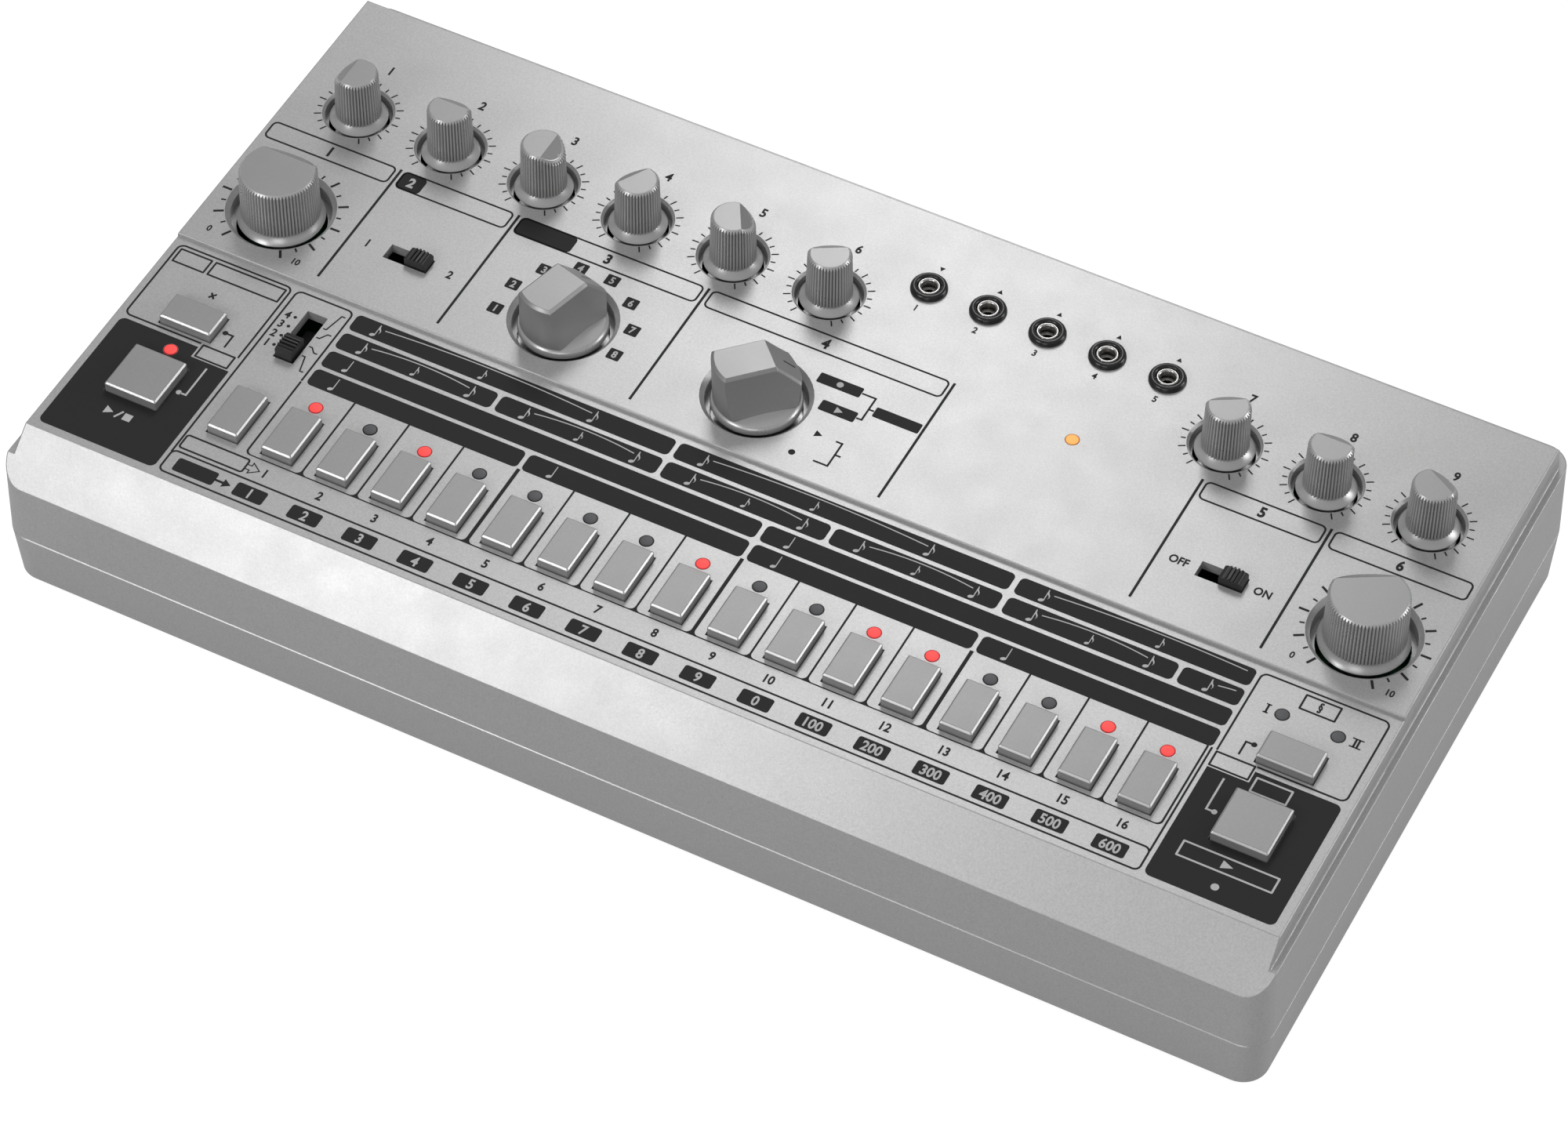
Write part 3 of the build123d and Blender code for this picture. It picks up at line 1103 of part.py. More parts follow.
# Housings: upright ones under the panel, lying ones on the main board with a bush through the back wall
back_inside = HALF_DEPTH - UPPER_DRAFT - WALL - BACK_FACE_GAP
back_outside = HALF_DEPTH - UPPER_DRAFT - BUSH_SETBACK
sleeve_foot = PANEL_Z + JACK_SLEEVE_STAND - JACK_SLEEVE_LENGTH
with BuildPart() as jack_bodies:
    with BuildSketch(Plane.XY.offset(CONTROL_BOARD_TOP)):
        with Locations(jack_points):
            Rectangle(JACK_BODY_WIDTH, JACK_BODY_LENGTH)
    extrude(amount=PANEL_Z - WALL - JACK_BODY_GAP - CONTROL_BOARD_TOP)
    with BuildSketch(Plane.XY.offset(sleeve_foot)):
        with Locations(jack_points):
            Circle(JACK_SLEEVE_R + JACK_FIT)
    extrude(amount=JACK_SLEEVE_LENGTH, mode=Mode.SUBTRACT)
    with BuildSketch(Plane.XY.offset(PANEL_Z)):
        with Locations(jack_points):
            Circle(JACK_CHAMBER_R)
    extrude(amount=-PLUG_DEPTH, mode=Mode.SUBTRACT)
    for points, body, bush_r, bore_r in (
        ([(x, MAIN_BOARD_TOP + VOICE_HEIGHT) for x in VOICE_XS], VOICE_BODY, VOICE_BUSH_R, JACK_BORE_R),
        ([(MIX_X, MAIN_BOARD_TOP + MIX_HEIGHT)], MIX_BODY, MIX_BUSH_R, MIX_BORE_R),
    ):
        with BuildSketch(Plane.XY.offset(MAIN_BOARD_TOP)):
            with Locations([(x, back_inside - body[1] / 2) for x, _ in points]):
                Rectangle(body[0], body[1])
        extrude(amount=body[2])
        with BuildSketch(Plane.XZ.offset(-back_outside)):
            with Locations(points):
                Circle(bush_r)
        extrude(amount=back_outside - back_inside)
        with BuildSketch(Plane.XZ.offset(-back_outside)):
            with Locations(points):
                Circle(bore_r)
        extrude(amount=body[1], mode=Mode.SUBTRACT)
finish(jack_bodies, "jack_bodies")

# ------------------------------------------------------------------ other sockets in the back wall
with BuildPart() as dc_inlet:
    with BuildSketch(Plane.XY.offset(MAIN_BOARD_TOP)):
        with Locations((DC_X, back_inside - DC_BODY[1] / 2)):
            Rectangle(DC_BODY[0], DC_BODY[1])
    extrude(amount=DC_BODY[2])
    with BuildSketch(Plane.XZ.offset(-back_outside)):
        with Locations((DC_X, MAIN_BOARD_TOP + DC_HEIGHT)):
            Circle(DC_BUSH_R)
    extrude(amount=back_outside - back_inside)
    with BuildSketch(Plane.XZ.offset(-back_outside)):
        with Locations((DC_X, MAIN_BOARD_TOP + DC_HEIGHT)):
            Circle(DC_BORE_R)
            Circle(DC_PIN_R, mode=Mode.SUBTRACT)
    extrude(amount=DC_BORE_DEPTH, mode=Mode.SUBTRACT)
finish(dc_inlet, "dc_inlet")

with BuildPart() as usb_socket:
    usb_centre = (USB_X, MAIN_BOARD_TOP + USB_HEIGHT)
    with BuildSketch(Plane.XZ.offset(-back_outside)):
        with Locations(usb_centre):
            Rectangle(*USB_SHELL)
    extrude(amount=USB_DEPTH)
    with BuildSketch(Plane.XZ.offset(-back_outside)):
        with Locations(usb_centre):
            Rectangle(*USB_MOUTH)
            Rectangle(*USB_TONGUE, mode=Mode.SUBTRACT)
    extrude(amount=USB_MOUTH_DEPTH, mode=Mode.SUBTRACT)
    # feet that hold the shell on the main board
    with BuildSketch(Plane.XY.offset(MAIN_BOARD_TOP)):
        with Locations((USB_X, back_outside - USB_DEPTH / 2 - WALL)):
            Rectangle(USB_SHELL[0], USB_FOOT_DEPTH)
    extrude(amount=USB_HEIGHT - USB_SHELL[1] / 2)
finish(usb_socket, "usb_socket")

with BuildPart() as midi_sockets:
    midi_points = [(x, MAIN_BOARD_TOP + MIDI_HEIGHT) for x in MIDI_X]
    with BuildSketch(Plane.XY.offset(MAIN_BOARD_TOP)):
        with Locations([(x, back_inside - MIDI_BODY[1] / 2) for x in MIDI_X]):
            Rectangle(*MIDI_BODY)
    extrude(amount=2 * MIDI_HEIGHT)
    with BuildSketch(Plane.XZ.offset(-back_outside)):
        with Locations(midi_points):
            Circle(MIDI_RING_R)
    extrude(amount=back_outside - back_inside)
    with BuildSketch(Plane.XZ.offset(-back_outside)):
        with Locations(midi_points):
            Circle(MIDI_GROOVE_R)
            Circle(MIDI_CORE_R, mode=Mode.SUBTRACT)
            with PolarLocations(MIDI_PIN_CIRCLE_R, MIDI_PINS, angular_range=180, endpoint=True):
                Circle(MIDI_PIN_R)
    extrude(amount=MIDI_GROOVE_DEPTH, mode=Mode.SUBTRACT)
finish(midi_sockets, "midi_sockets")

# ------------------------------------------------------------------ power switch, flush in its slot
switch_z = MAIN_BOARD_TOP + SWITCH_HEIGHT
with BuildPart() as power_switch_body:
    with BuildSketch(Plane.XY.offset(MAIN_BOARD_TOP)):
        with Locations((SWITCH_X, back_inside - SWITCH_BODY[1] / 2)):
            Rectangle(SWITCH_BODY[0], SWITCH_BODY[1])
    extrude(amount=SWITCH_BODY[2])
    with BuildSketch(Plane.XZ.offset(-back_inside)):
        with Locations((SWITCH_X, switch_z)):
            Rectangle(SWITCH_TRAVEL + LEVER_STEM + 2 * LEVER_FIT, LEVER_STEM + 2 * LEVER_FIT)
    extrude(amount=SWITCH_BODY[1] - SHAFT_FOOT_GAP, mode=Mode.SUBTRACT)
finish(power_switch_body, "power_switch_body")

with BuildPart() as power_switch_lever:
    lever_x = SWITCH_X + SWITCH_TRAVEL / 2
    with BuildSketch(Plane.XZ.offset(-back_outside)):
        with Locations((lever_x, switch_z)):
            Rectangle(SWITCH_LEVER, SWITCH_LEVER)
    extrude(amount=back_outside - back_inside - LEVER_FIT)
    with BuildSketch(Plane.XZ.offset(-back_inside - LEVER_FIT)):
        with Locations((lever_x, switch_z)):
            Rectangle(LEVER_STEM, LEVER_STEM)
    extrude(amount=SWITCH_BODY[1] - 2 * SHAFT_FOOT_GAP)
finish(power_switch_lever, "power_switch_lever")
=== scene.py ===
"""A table-top drum machine, dressed piece by piece in the order in which it is put together.

Sizes are millimetres, in the object's own frame: +X to the player's right, +Y to the back, +Z up.
"""

from math import acos, asin, atan2, cos, hypot, pi, radians, sin, sqrt, tan

import bmesh
import bpy
from mathutils import Matrix, Vector


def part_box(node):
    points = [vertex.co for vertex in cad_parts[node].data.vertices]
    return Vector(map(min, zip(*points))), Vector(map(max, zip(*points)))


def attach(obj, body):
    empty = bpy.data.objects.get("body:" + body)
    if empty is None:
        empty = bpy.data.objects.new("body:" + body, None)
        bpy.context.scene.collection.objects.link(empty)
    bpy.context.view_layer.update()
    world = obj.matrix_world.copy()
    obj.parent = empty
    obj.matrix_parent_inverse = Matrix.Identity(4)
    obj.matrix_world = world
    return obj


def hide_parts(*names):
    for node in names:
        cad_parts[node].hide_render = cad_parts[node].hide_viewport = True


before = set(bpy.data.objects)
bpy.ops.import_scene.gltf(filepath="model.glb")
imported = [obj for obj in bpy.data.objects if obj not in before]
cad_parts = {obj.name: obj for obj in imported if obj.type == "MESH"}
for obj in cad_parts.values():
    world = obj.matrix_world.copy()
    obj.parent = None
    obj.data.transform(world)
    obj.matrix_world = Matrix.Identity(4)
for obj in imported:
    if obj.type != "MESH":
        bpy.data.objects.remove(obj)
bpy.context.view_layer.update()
MM = 0.001


# ------------------------------------------------ housing
# Two moulded shells, screwed together from below: the upper one carries the raised control panel,
# the lower one is the tray.  Both have a satin silver paint with a fine metallic fleck.
class Value:
    """A quantity that varies over a surface; arithmetic on it adds Math nodes to its finish."""

    def __init__(self, finish, socket):
        self.finish = finish
        self.socket = socket

    def maths(self, operation, *values, clamp=False):
        """One Math node on some values or numbers."""
        inputs = dict(enumerate(values))
        return self.finish.node("ShaderNodeMath", {"operation": operation, "use_clamp": clamp}, inputs)

    def __add__(self, other):
        return self.maths("ADD", self, other)

    def __sub__(self, other):
        return self.maths("SUBTRACT", self, other)

    def __mul__(self, other):
        return self.maths("MULTIPLY", self, other)

    def limited(self):
        """The same quantity, kept between 0 and 1."""
        return self.maths("ADD", self, 0.0, clamp=True)


class Finish:
    """One material: a Principled surface, and the nodes that vary it from place to place."""

    def __init__(self, name, **settings):
        self.material = bpy.data.materials.new(name)
        self.material.use_nodes = True
        self.tree = self.material.node_tree
        self.surface = self.tree.nodes["Principled BSDF"]
        for socket, value in settings.items():
            self.surface.inputs[socket.replace("_", " ")].default_value = value

    def node(self, kind, settings=None, inputs=None, output=0):
        """Add a node, give it its settings and then its inputs, and return one of its outputs.

        The stops of a ramp are places and grey levels, in rising order.
        """
        made = self.tree.nodes.new(kind)
        for setting, value in (settings or {}).items():
            if setting == "stops":
                ramp = made.color_ramp.elements
                while len(ramp) < len(value):
                    ramp.new(1.0)
                for stop, (place, level) in zip(ramp, value):
                    stop.position = place
                    stop.color = rgba(level)
            else:
                setattr(made, setting, value)
        for socket, value in (inputs or {}).items():
            self.feed(made.inputs[socket], value)
        return Value(self, made.outputs[output])

    def feed(self, socket, value):
        """Link a value to a socket, or write a plain number or colour on it."""
        if isinstance(value, Value):
            self.tree.links.new(value.socket, socket)
        else:
            socket.default_value = value

    def set(self, socket, value):
        """Let one input of the surface vary."""
        self.feed(self.surface.inputs[socket], value)

    def place(self):
        """Position on the piece, in metres; it moves with the piece."""
        return self.node("ShaderNodeTexCoord", output="Object")

    def noise(self, size, detail=2.0, roughness=0.5):
        """Soft random grain with features of about one size, in millimetres."""
        inputs = {"Vector": self.place(), "Scale": 1 / (size * MM), "Detail": detail, "Roughness": roughness}
        return self.node("ShaderNodeTexNoise", {"noise_dimensions": "3D"}, inputs)

    def flakes(self, size):
        """A random level for each cell of a fine mosaic, like flakes of metal in a paint."""
        inputs = {"Vector": self.place(), "Scale": 1 / (size * MM)}
        cells = self.node("ShaderNodeTexVoronoi", {"feature": "F1"}, inputs, output="Color")
        return self.node("ShaderNodeSeparateColor", {}, {"Color": cells})

    def relief(self, height, depth):
        """Press a height pattern into the surface; depth is in millimetres."""
        inputs = {"Height": height, "Distance": depth * MM, "Strength": 1.0}
        self.set("Normal", self.node("ShaderNodeBump", {}, inputs))


def rgba(colour):
    """A grey level or a colour, with full alpha."""
    return (*colour, 1.0) if hasattr(colour, "__len__") else (colour, colour, colour, 1.0)


def mixed(finish, share, first, second):
    """Mix two colours or grey levels; a Mix node's colour sockets go by their numbers."""
    inputs = {0: share, 6: rgba(first), 7: rgba(second)}
    return finish.node("ShaderNodeMix", {"data_type": "RGBA"}, inputs, output=2)


def metallic_paint(name, level, fleck, roughness, metallic, peel):
    """Silver paint: flakes that sparkle lighter and darker, cloudy patches, and a light orange peel.

    The level is the mean grey, the fleck is how far flakes stray from it, and the peel is in millimetres.
    """
    finish = Finish(name, Metallic=metallic, Specular_IOR_Level=0.5)
    sparkle = finish.flakes(0.2)
    grain = finish.noise(0.45, detail=3.0)
    cloud = finish.noise(9.0, detail=3.0)
    shade = (sparkle - 0.5) * fleck + (grain - 0.5) * fleck * 4.2 + (cloud - 0.5) * 0.04 + 0.5
    finish.set("Base Color", mixed(finish, shade.limited(), level * 0.55, level * 1.45))
    finish.set("Roughness", (cloud - 0.5) * 0.08 + (sparkle - 0.5) * 0.04 + roughness)
    finish.relief(finish.noise(0.55, detail=1.0), peel)
    return finish


def dress(finish, *nodes):
    """Give CAD nodes their finish, on every material slot they have."""
    for name in nodes:
        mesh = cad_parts[name].data
        mesh.materials.clear()
        mesh.materials.append(finish.material)


case_paint = metallic_paint("case_silver_paint", 0.48, fleck=0.10, roughness=0.33, metallic=0.35, peel=0.010)
dress(case_paint, "upper_case", "lower_case")


# ------------------------------------------------ print on the panel
# Screened ink on the raised plate and the lower front plate: dark rules, dials, boxes and figures, and
# light signs over the dark fields.  Each ink is a closed skin, sunk in the paint and a little proud of it.
BACK_PLATE = 44.0
FRONT_PLATE = 43.08
RULE = 0.46
GROUP_R = 1.5
SHARP = 0.05
INK_SUNK = 0.02


def centre(node):
    """Middle of a CAD node's box, in millimetres."""
    low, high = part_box(node)
    return (low + high) / 2 / MM


SMALL_KNOBS = ("accent", "bass_drum", "snare_drum", "tom", "cymbal", "hi_hat", "distortion", "tone", "level")
LARGE_KNOBS = ("tempo", "volume")
SELECTORS = ("instrument_selector", "mode_selector")
KNOBS = {name: centre(f"{name}_knob") for name in (*SMALL_KNOBS, *LARGE_KNOBS, *SELECTORS)}
STEP_KEYS = [f"step_button_{i:02d}" for i in range(1, 17)]
STEP_X = [centre(name).x for name in STEP_KEYS]
STEP_PITCH = (STEP_X[-1] - STEP_X[0]) / 15


def arc(x, y, radius, start, end, steps=6):
    """Points on a circle's arc between two angles in degrees."""
    turns = [radians(start + (end - start) * i / steps) for i in range(steps + 1)]
    return [(x + radius * cos(turn), y + radius * sin(turn)) for turn in turns]


def rounded(x0, y0, x1, y1, radius, steps=5):
    """Outline of a rectangle with round corners."""
    corners = ((x1, y1, 0), (x0, y1, 90), (x0, y0, 180), (x1, y0, 270))
    outline = []
    for x, y, start in corners:
        inner_x = x - radius if x == x1 else x + radius
        inner_y = y - radius if y == y1 else y + radius
        outline += arc(inner_x, inner_y, radius, start, start + 90, steps)
    return outline


def ribbon(points, width):
    """Outline of a line of even width through points, with mitred turns."""
    path = [Vector(point) for point in points]
    sides = []
    for i, point in enumerate(path):
        before = (point - path[i - 1]).normalized() if i else (path[1] - point).normalized()
        after = (path[i + 1] - point).normalized() if i < len(path) - 1 else before
        normal = Vector((-before.y - after.y, before.x + after.x)).normalized()
        reach = width / 2 / max(0.3, normal.dot(Vector((-after.y, after.x))))
        sides.append((point + normal * reach, point - normal * reach))
    return [tuple(left) for left, _ in sides] + [tuple(right) for _, right in reversed(sides)]


def filled(shape):
    """Mesh of a filled curve."""
    return bpy.data.meshes.new_from_object(bpy.data.objects.new("ink", shape))


class Ink:
    """Print of one colour on one plate."""

    def __init__(self, name, finish, plate, proud):
        self.name = name
        self.finish = finish
        self.base = plate - INK_SUNK
        self.proud = proud + INK_SUNK
        self.mesh = bmesh.new()

    def press(self, shape, x=0.0, y=0.0, wide=1.0, high=1.0, middle=(0.0, 0.0)):
        """Add a filled curve as a closed skin, scaled about its middle and moved to a place."""
        shape.extrude = self.proud / 2 / high
        skin = filled(shape)
        place = Matrix.Translation((x, y, self.base + self.proud / 2))
        size = Matrix.Diagonal((wide, high, high, 1.0))
        skin.transform(place @ size @ Matrix.Translation((-middle[0], -middle[1], 0)))
        self.mesh.from_mesh(skin)
        bpy.data.meshes.remove(skin)

    def area(self, *outlines):
        """A flat field; outlines inside the first one are holes."""
        shape = bpy.data.curves.new("ink", "CURVE")
        shape.dimensions = "2D"
        shape.fill_mode = "BOTH"
        for outline in outlines:
            edge = shape.splines.new("POLY")
            edge.points.add(len(outline) - 1)
            edge.points.foreach_set("co", [value for x, y in outline for value in (x, y, 0.0, 1.0)])
            edge.use_cyclic_u = True
        self.press(shape)

    def box(self, x0, y0, x1, y1, radius):
        """A filled box with round corners."""
        self.area(rounded(x0, y0, x1, y1, radius))

    def frame(self, x0, y0, x1, y1, radius, width=RULE):
        """A ruled box; the radius is that of the rule's middle."""
        half = width / 2
        outer = rounded(x0 - half, y0 - half, x1 + half, y1 + half, radius + half)
        self.area(outer, rounded(x0 + half, y0 + half, x1 - half, y1 - half, max(radius - half, 0.05)))

    def line(self, *points, width=RULE):
        """A rule through some points."""
        self.area(ribbon(points, width))

    def dot(self, x, y, radius):
        """A filled disc."""
        self.area(arc(x, y, radius, 0, 337.5, 15))

    def write(self, figures, x, y, height, narrow=0.86, weight=0.3):
        """Figures of a real height, set with their middle at a place."""
        shape = bpy.data.curves.new("ink", "FONT")
        shape.body = figures
        shape.size = 10.0
        shape.resolution_u = 3
        shape.offset = weight
        trial = filled(shape)
        reach_x = [corner.co.x for corner in trial.vertices]
        reach_y = [corner.co.y for corner in trial.vertices]
        scale = height / (max(reach_y) - min(reach_y))
        middle = ((max(reach_x) + min(reach_x)) / 2, (max(reach_y) + min(reach_y)) / 2)
        self.press(shape, x, y, scale * narrow, scale, middle)

    def dry(self):
        """Join the skins to one piece on the case."""
        bmesh.ops.remove_doubles(self.mesh, verts=self.mesh.verts, dist=0.0005)
        bmesh.ops.recalc_face_normals(self.mesh, faces=self.mesh.faces)
        bmesh.ops.scale(self.mesh, vec=(MM, MM, MM), verts=self.mesh.verts)
        skin = bpy.data.meshes.new(self.name)
        self.mesh.to_mesh(skin)
        skin.materials.append(self.finish.material)
        piece = bpy.data.objects.new(self.name, skin)
        bpy.context.scene.collection.objects.link(piece)
        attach(piece, "case")


def ink_finish(name, low, high):
    """Matt screened ink with a faint unevenness."""
    finish = Finish(name, Specular_IOR_Level=0.4)
    cover = finish.noise(0.5, detail=3.0)
    finish.set("Base Color", mixed(finish, cover, low, high))
    finish.set("Roughness", cover * 0.15 + 0.58)
    finish.relief(cover, 0.006)
    return finish


dark_finish = ink_finish("print_dark", 0.008, 0.016)
light_finish = ink_finish("print_light", 0.48, 0.62)
dark_back = Ink("print_dark_back", dark_finish, BACK_PLATE, 0.03)
light_back = Ink("print_light_back", light_finish, BACK_PLATE, 0.05)
dark_front = Ink("print_dark_front", dark_finish, FRONT_PLATE, 0.03)
light_front = Ink("print_light_front", light_finish, FRONT_PLATE, 0.05)

# dials, open towards the player: a long tick every 30 degrees and a short one between; each dial has the
# radius where its ticks start, where long and short ones end, and both widths
DIALS = [(name, 8.6, 10.3, 9.75, 0.34, 0.34) for name in SMALL_KNOBS]
DIALS += [(name, 12.85, 15.25, 14.0, 0.6, 0.42) for name in LARGE_KNOBS]
DIAL_START, TICK_STEP, TICKS = -60, 15, 21
for name, start, long_end, short_end, long_width, short_width in DIALS:
    for step in range(TICKS):
        angle = radians(DIAL_START + TICK_STEP * step)
        reach, width = (short_end, short_width) if step % 2 else (long_end, long_width)
        spot = KNOBS[name]
        ends = [(spot.x + r * cos(angle), spot.y + r * sin(angle)) for r in (start, reach)]
        dark_back.line(*ends, width=width)
for number, name in enumerate(SMALL_KNOBS, 1):
    dark_back.write(str(number), KNOBS[name].x, 58.3, 2.7)
for name in LARGE_KNOBS:
    dark_back.write("0", KNOBS[name].x - 11.2, -4.0, 1.9)
    dark_back.write("10", KNOBS[name].x + 11.4, -4.0, 1.9)

# headers of the lower row, with the rules between them
HEADERS = ((-148.4, -116.4), (-114.1, -85.9), (-83.5, -37.4), (-35.0, 23.7), (85.9, 114.1), (116.4, 148.4))
HEADER_FOOT, HEADER_TOP, HEADER_CORNER, HEADER_MIDDLE = 26.7, 31.9, 1.2, 29.3
HEADER_TAGS = {2: 6.0, 3: 14.3}
for number, (left, right) in enumerate(HEADERS, 1):
    dark_back.frame(left, HEADER_FOOT, right, HEADER_TOP, HEADER_CORNER)
    if number in HEADER_TAGS:
        dark_back.box(left, HEADER_FOOT, left + HEADER_TAGS[number], HEADER_TOP, HEADER_CORNER)
    if number == 2:
        light_back.write("2", left + 3.0, HEADER_MIDDLE, 3.0, weight=0.4)
    else:
        dark_back.write(str(number), (left + right) / 2, HEADER_MIDDLE, 3.1, weight=0.4)
for x in (-115.2, -84.6, -36.2, 24.8, 84.7, 115.2):
    dark_back.line((x, 32.0), (x, -5.5), width=0.62)

# positions of the two selectors: figures in dark tags round the first, dark and bare signs beside the second
VOICES = (
    (-75.5, 4.6), (-75.5, 12.8), (-71.5, 19.8), (-64.5, 24.0),
    (-56.5, 24.0), (-49.5, 19.8), (-45.4, 12.8), (-45.4, 4.6),
)
for number, (x, y) in enumerate(VOICES, 1):
    dark_back.box(x - 1.6, y - 1.6, x + 1.6, y + 1.6, 0.35)
    light_back.write(str(number), x, y, 2.1)
for left, bottom, right, top in ((-2.6, 18.3, 8.0, 21.3), (1.4, 11.2, 10.1, 14.3), (12.9, 14.8, 24.1, 17.8)):
    dark_back.box(left, bottom, right, top, 0.4)
dark_back.line((8.1, 19.8), (11.5, 19.8), (11.5, 12.8), (10.2, 12.8))
dark_back.line((11.65, 16.3), (12.8, 16.3))
dark_back.line((9.4, 4.6), (11.0, 4.6), (11.0, -2.6), (7.5, -2.6))
dark_back.line((11.15, 1.0), (12.4, 1.0))
light_back.dot(2.7, 19.8, 0.8)
light_back.area([(5.1, 11.8), (6.9, 12.75), (5.1, 13.7)])
dark_back.area([(4.3, 3.7), (6.1, 4.65), (4.3, 5.6)])
dark_back.dot(2.3, -2.6, 0.8)

# slide switches, lamps and sockets on the back plate
dark_back.write("1", -110.5, 8.6, 2.4)
dark_back.write("2", -89.4, 8.6, 2.4)
dark_back.write("OFF", 89.8, 8.6, 2.3)
dark_back.write("ON", 109.4, 8.6, 2.3)
SOCKETS = [36.3 + 14.64 * (i - 2) for i in range(5)]
for number, x in enumerate(SOCKETS, 1):
    point, base = (60.8, 62.0) if number == 1 else (62.0, 60.8)
    dark_back.area([(x - 0.65, base), (x + 0.65, base), (x, point)])
    dark_back.write(str(number), x, 48.3, 1.9)

# group on the left of the front plate: clear, then start and stop on a dark field
dark_front.line(
    (-128.1, -34.35), *arc(-146.4, -32.85, GROUP_R, 270, 180), *arc(-146.4, -12.1, GROUP_R, 180, 90),
    *arc(-120.2, -12.1, GROUP_R, 90, 0), (-118.7, -34.3),
)
dark_front.frame(-146.9, -15.75, -138.9, -11.75, SHARP)
dark_front.frame(-137.8, -15.75, -119.75, -11.75, SHARP)
dark_front.write("×", -133.3, -20.9, 1.9)
dark_front.dot(-125.0, -29.2, 0.65)
dark_front.line((-124.4, -29.2), (-123.0, -29.2), (-123.0, -33.0))
dark_front.frame(-127.4, -38.2, -119.3, -34.55, SHARP)
LAMP_BEHIND_KEY = 10.2


def wide_key_hole(node, half_width=6.85, half_length=7.05):
    """Outline of the opening that a square key stands in."""
    hole = centre(node)
    return rounded(hole.x - half_width, hole.y - half_length, hole.x + half_width, hole.y + half_length, 0.3)


start_key = centre("start_stop_button")
lamp_hole = arc(start_key.x, start_key.y + LAMP_BEHIND_KEY, 1.72, 0, 348.75, 31)
field = [*arc(-146.4, -37.1, GROUP_R, 180, 90), (-128.1, -35.6), (-128.1, -38.75), (-118.4, -38.75)]
field += [*arc(-119.9, -68.9, GROUP_R, 0, -90), *arc(-146.4, -68.9, GROUP_R, -90, -180)]
dark_front.area(field, wide_key_hole("start_stop_button"), lamp_hole)
light_front.line((-123.1, -40.25), (-123.1, -49.1), (-124.4, -49.1))
light_front.dot(-124.9, -49.1, 0.65)
light_front.area([(-136.6, -61.9), (-134.5, -60.75), (-136.6, -59.6)])
light_front.line((-133.7, -61.9), (-132.5, -59.6))
light_front.area(rounded(-131.9, -61.75, -129.9, -59.75, 0.1))

# group on the right of the front plate: pattern lamps, then the wide key on a dark field
dark_front.line(
    (118.25, -34.0), *arc(119.75, -12.1, GROUP_R, 180, 90), *arc(146.1, -12.1, GROUP_R, 90, 0),
    *arc(146.1, -32.8, GROUP_R, 0, -90), (127.6, -34.3),
)
dark_front.frame(128.9, -15.8, 136.9, -11.8, SHARP)
dark_front.write("§", 132.9, -13.8, 3.0)
dark_front.write("I", 123.0, -19.0, 2.6)
dark_front.write("II", 143.4, -19.0, 2.6)
for x0, x1 in ((122.4, 123.6), (142.1, 144.7)):
    for y in (-20.15, -17.85):
        dark_front.line((x0, y), (x1, y), width=0.32)
dark_front.dot(124.6, -29.2, 0.65)
dark_front.line((124.0, -29.2), (122.75, -29.2), (122.75, -33.0))
dark_front.frame(118.4, -38.3, 127.2, -34.4, SHARP)
field = [(127.75, -35.6), *arc(146.1, -37.1, GROUP_R, 90, 0), *arc(146.1, -68.9, GROUP_R, 0, -90)]
field += [*arc(119.75, -68.9, GROUP_R, -90, -180), (118.25, -38.85), (127.75, -38.85)]
dark_front.area(field, wide_key_hole("tap_button"))
light_front.frame(128.8, -40.8, 136.9, -36.9, SHARP)
light_front.frame(122.25, -62.8, 143.7, -58.8, SHARP)
light_front.line((122.75, -40.25), (122.75, -49.2), (124.0, -49.2))
light_front.dot(124.6, -49.2, 0.65)
light_front.area([(131.6, -61.9), (134.2, -60.8), (131.6, -59.7)])
light_front.dot(132.8, -66.8, 0.9)

# scale switch: its outline runs down the side of the step keys and joins the bottom row
dark_front.line(
    (-117.3, -64.6), *arc(-115.8, -12.1, GROUP_R, 180, 90),
    *arc(-104.4, -12.1, GROUP_R, 90, 0), (-102.9, -33.6),
)
for figure, y in zip("4321", (-17.9, -20.9, -24.0, -27.1)):
    dark_front.write(figure, -115.6, y, 2.3)
    dark_front.dot(-113.75, y, 0.42)
for low, high in ((-17.9, -12.9), (-20.9, -19.1), (-24.0, -25.25), (-27.1, -31.3)):
    dark_front.line((-106.6, low), (-105.8, low), (-104.7, high), (-103.8, high), width=0.34)

# step keys: cells like a comb, with a stout tooth after every fourth key
CELL_TOP = -33.85
comb = []
for i, x in enumerate(STEP_X):
    for side in (-1, 1):
        stout = (i + (side > 0)) % 4 == 0 and 0 < i + (side > 0) < 16
        wall = x + side * (STEP_PITCH / 2 - (0.43 if stout else RULE / 2))
        corner = arc(wall - side * 1.2, -56.15, 1.2, 270, 270 + side * 90)
        inner = corner if side > 0 else corner[::-1]
        comb += [(wall, CELL_TOP), *inner] if side < 0 else [*inner, (wall, CELL_TOP)]
edge_left = STEP_X[0] - STEP_PITCH / 2 - RULE / 2
edge_right = STEP_X[-1] + STEP_PITCH / 2 + RULE / 2
comb = [(edge_left, CELL_TOP)] + comb + [(edge_right, CELL_TOP)] + arc(edge_right - 1.3, -56.35, 1.3, 0, -90)
comb += arc(edge_left + 1.3, -56.35, 1.3, -90, -180)
dark_front.area(comb)
dark_front.line((117.1, CELL_TOP), (117.1, -64.6))
for number, x in enumerate(STEP_X, 1):
    dark_front.write(str(number), x, -60.75, 2.45)
dark_front.frame(-117.2, -70.3, 117.1, -63.9, 1.3)
dark_front.frame(-116.6, -62.7, -100.8, -58.8, 0.6)
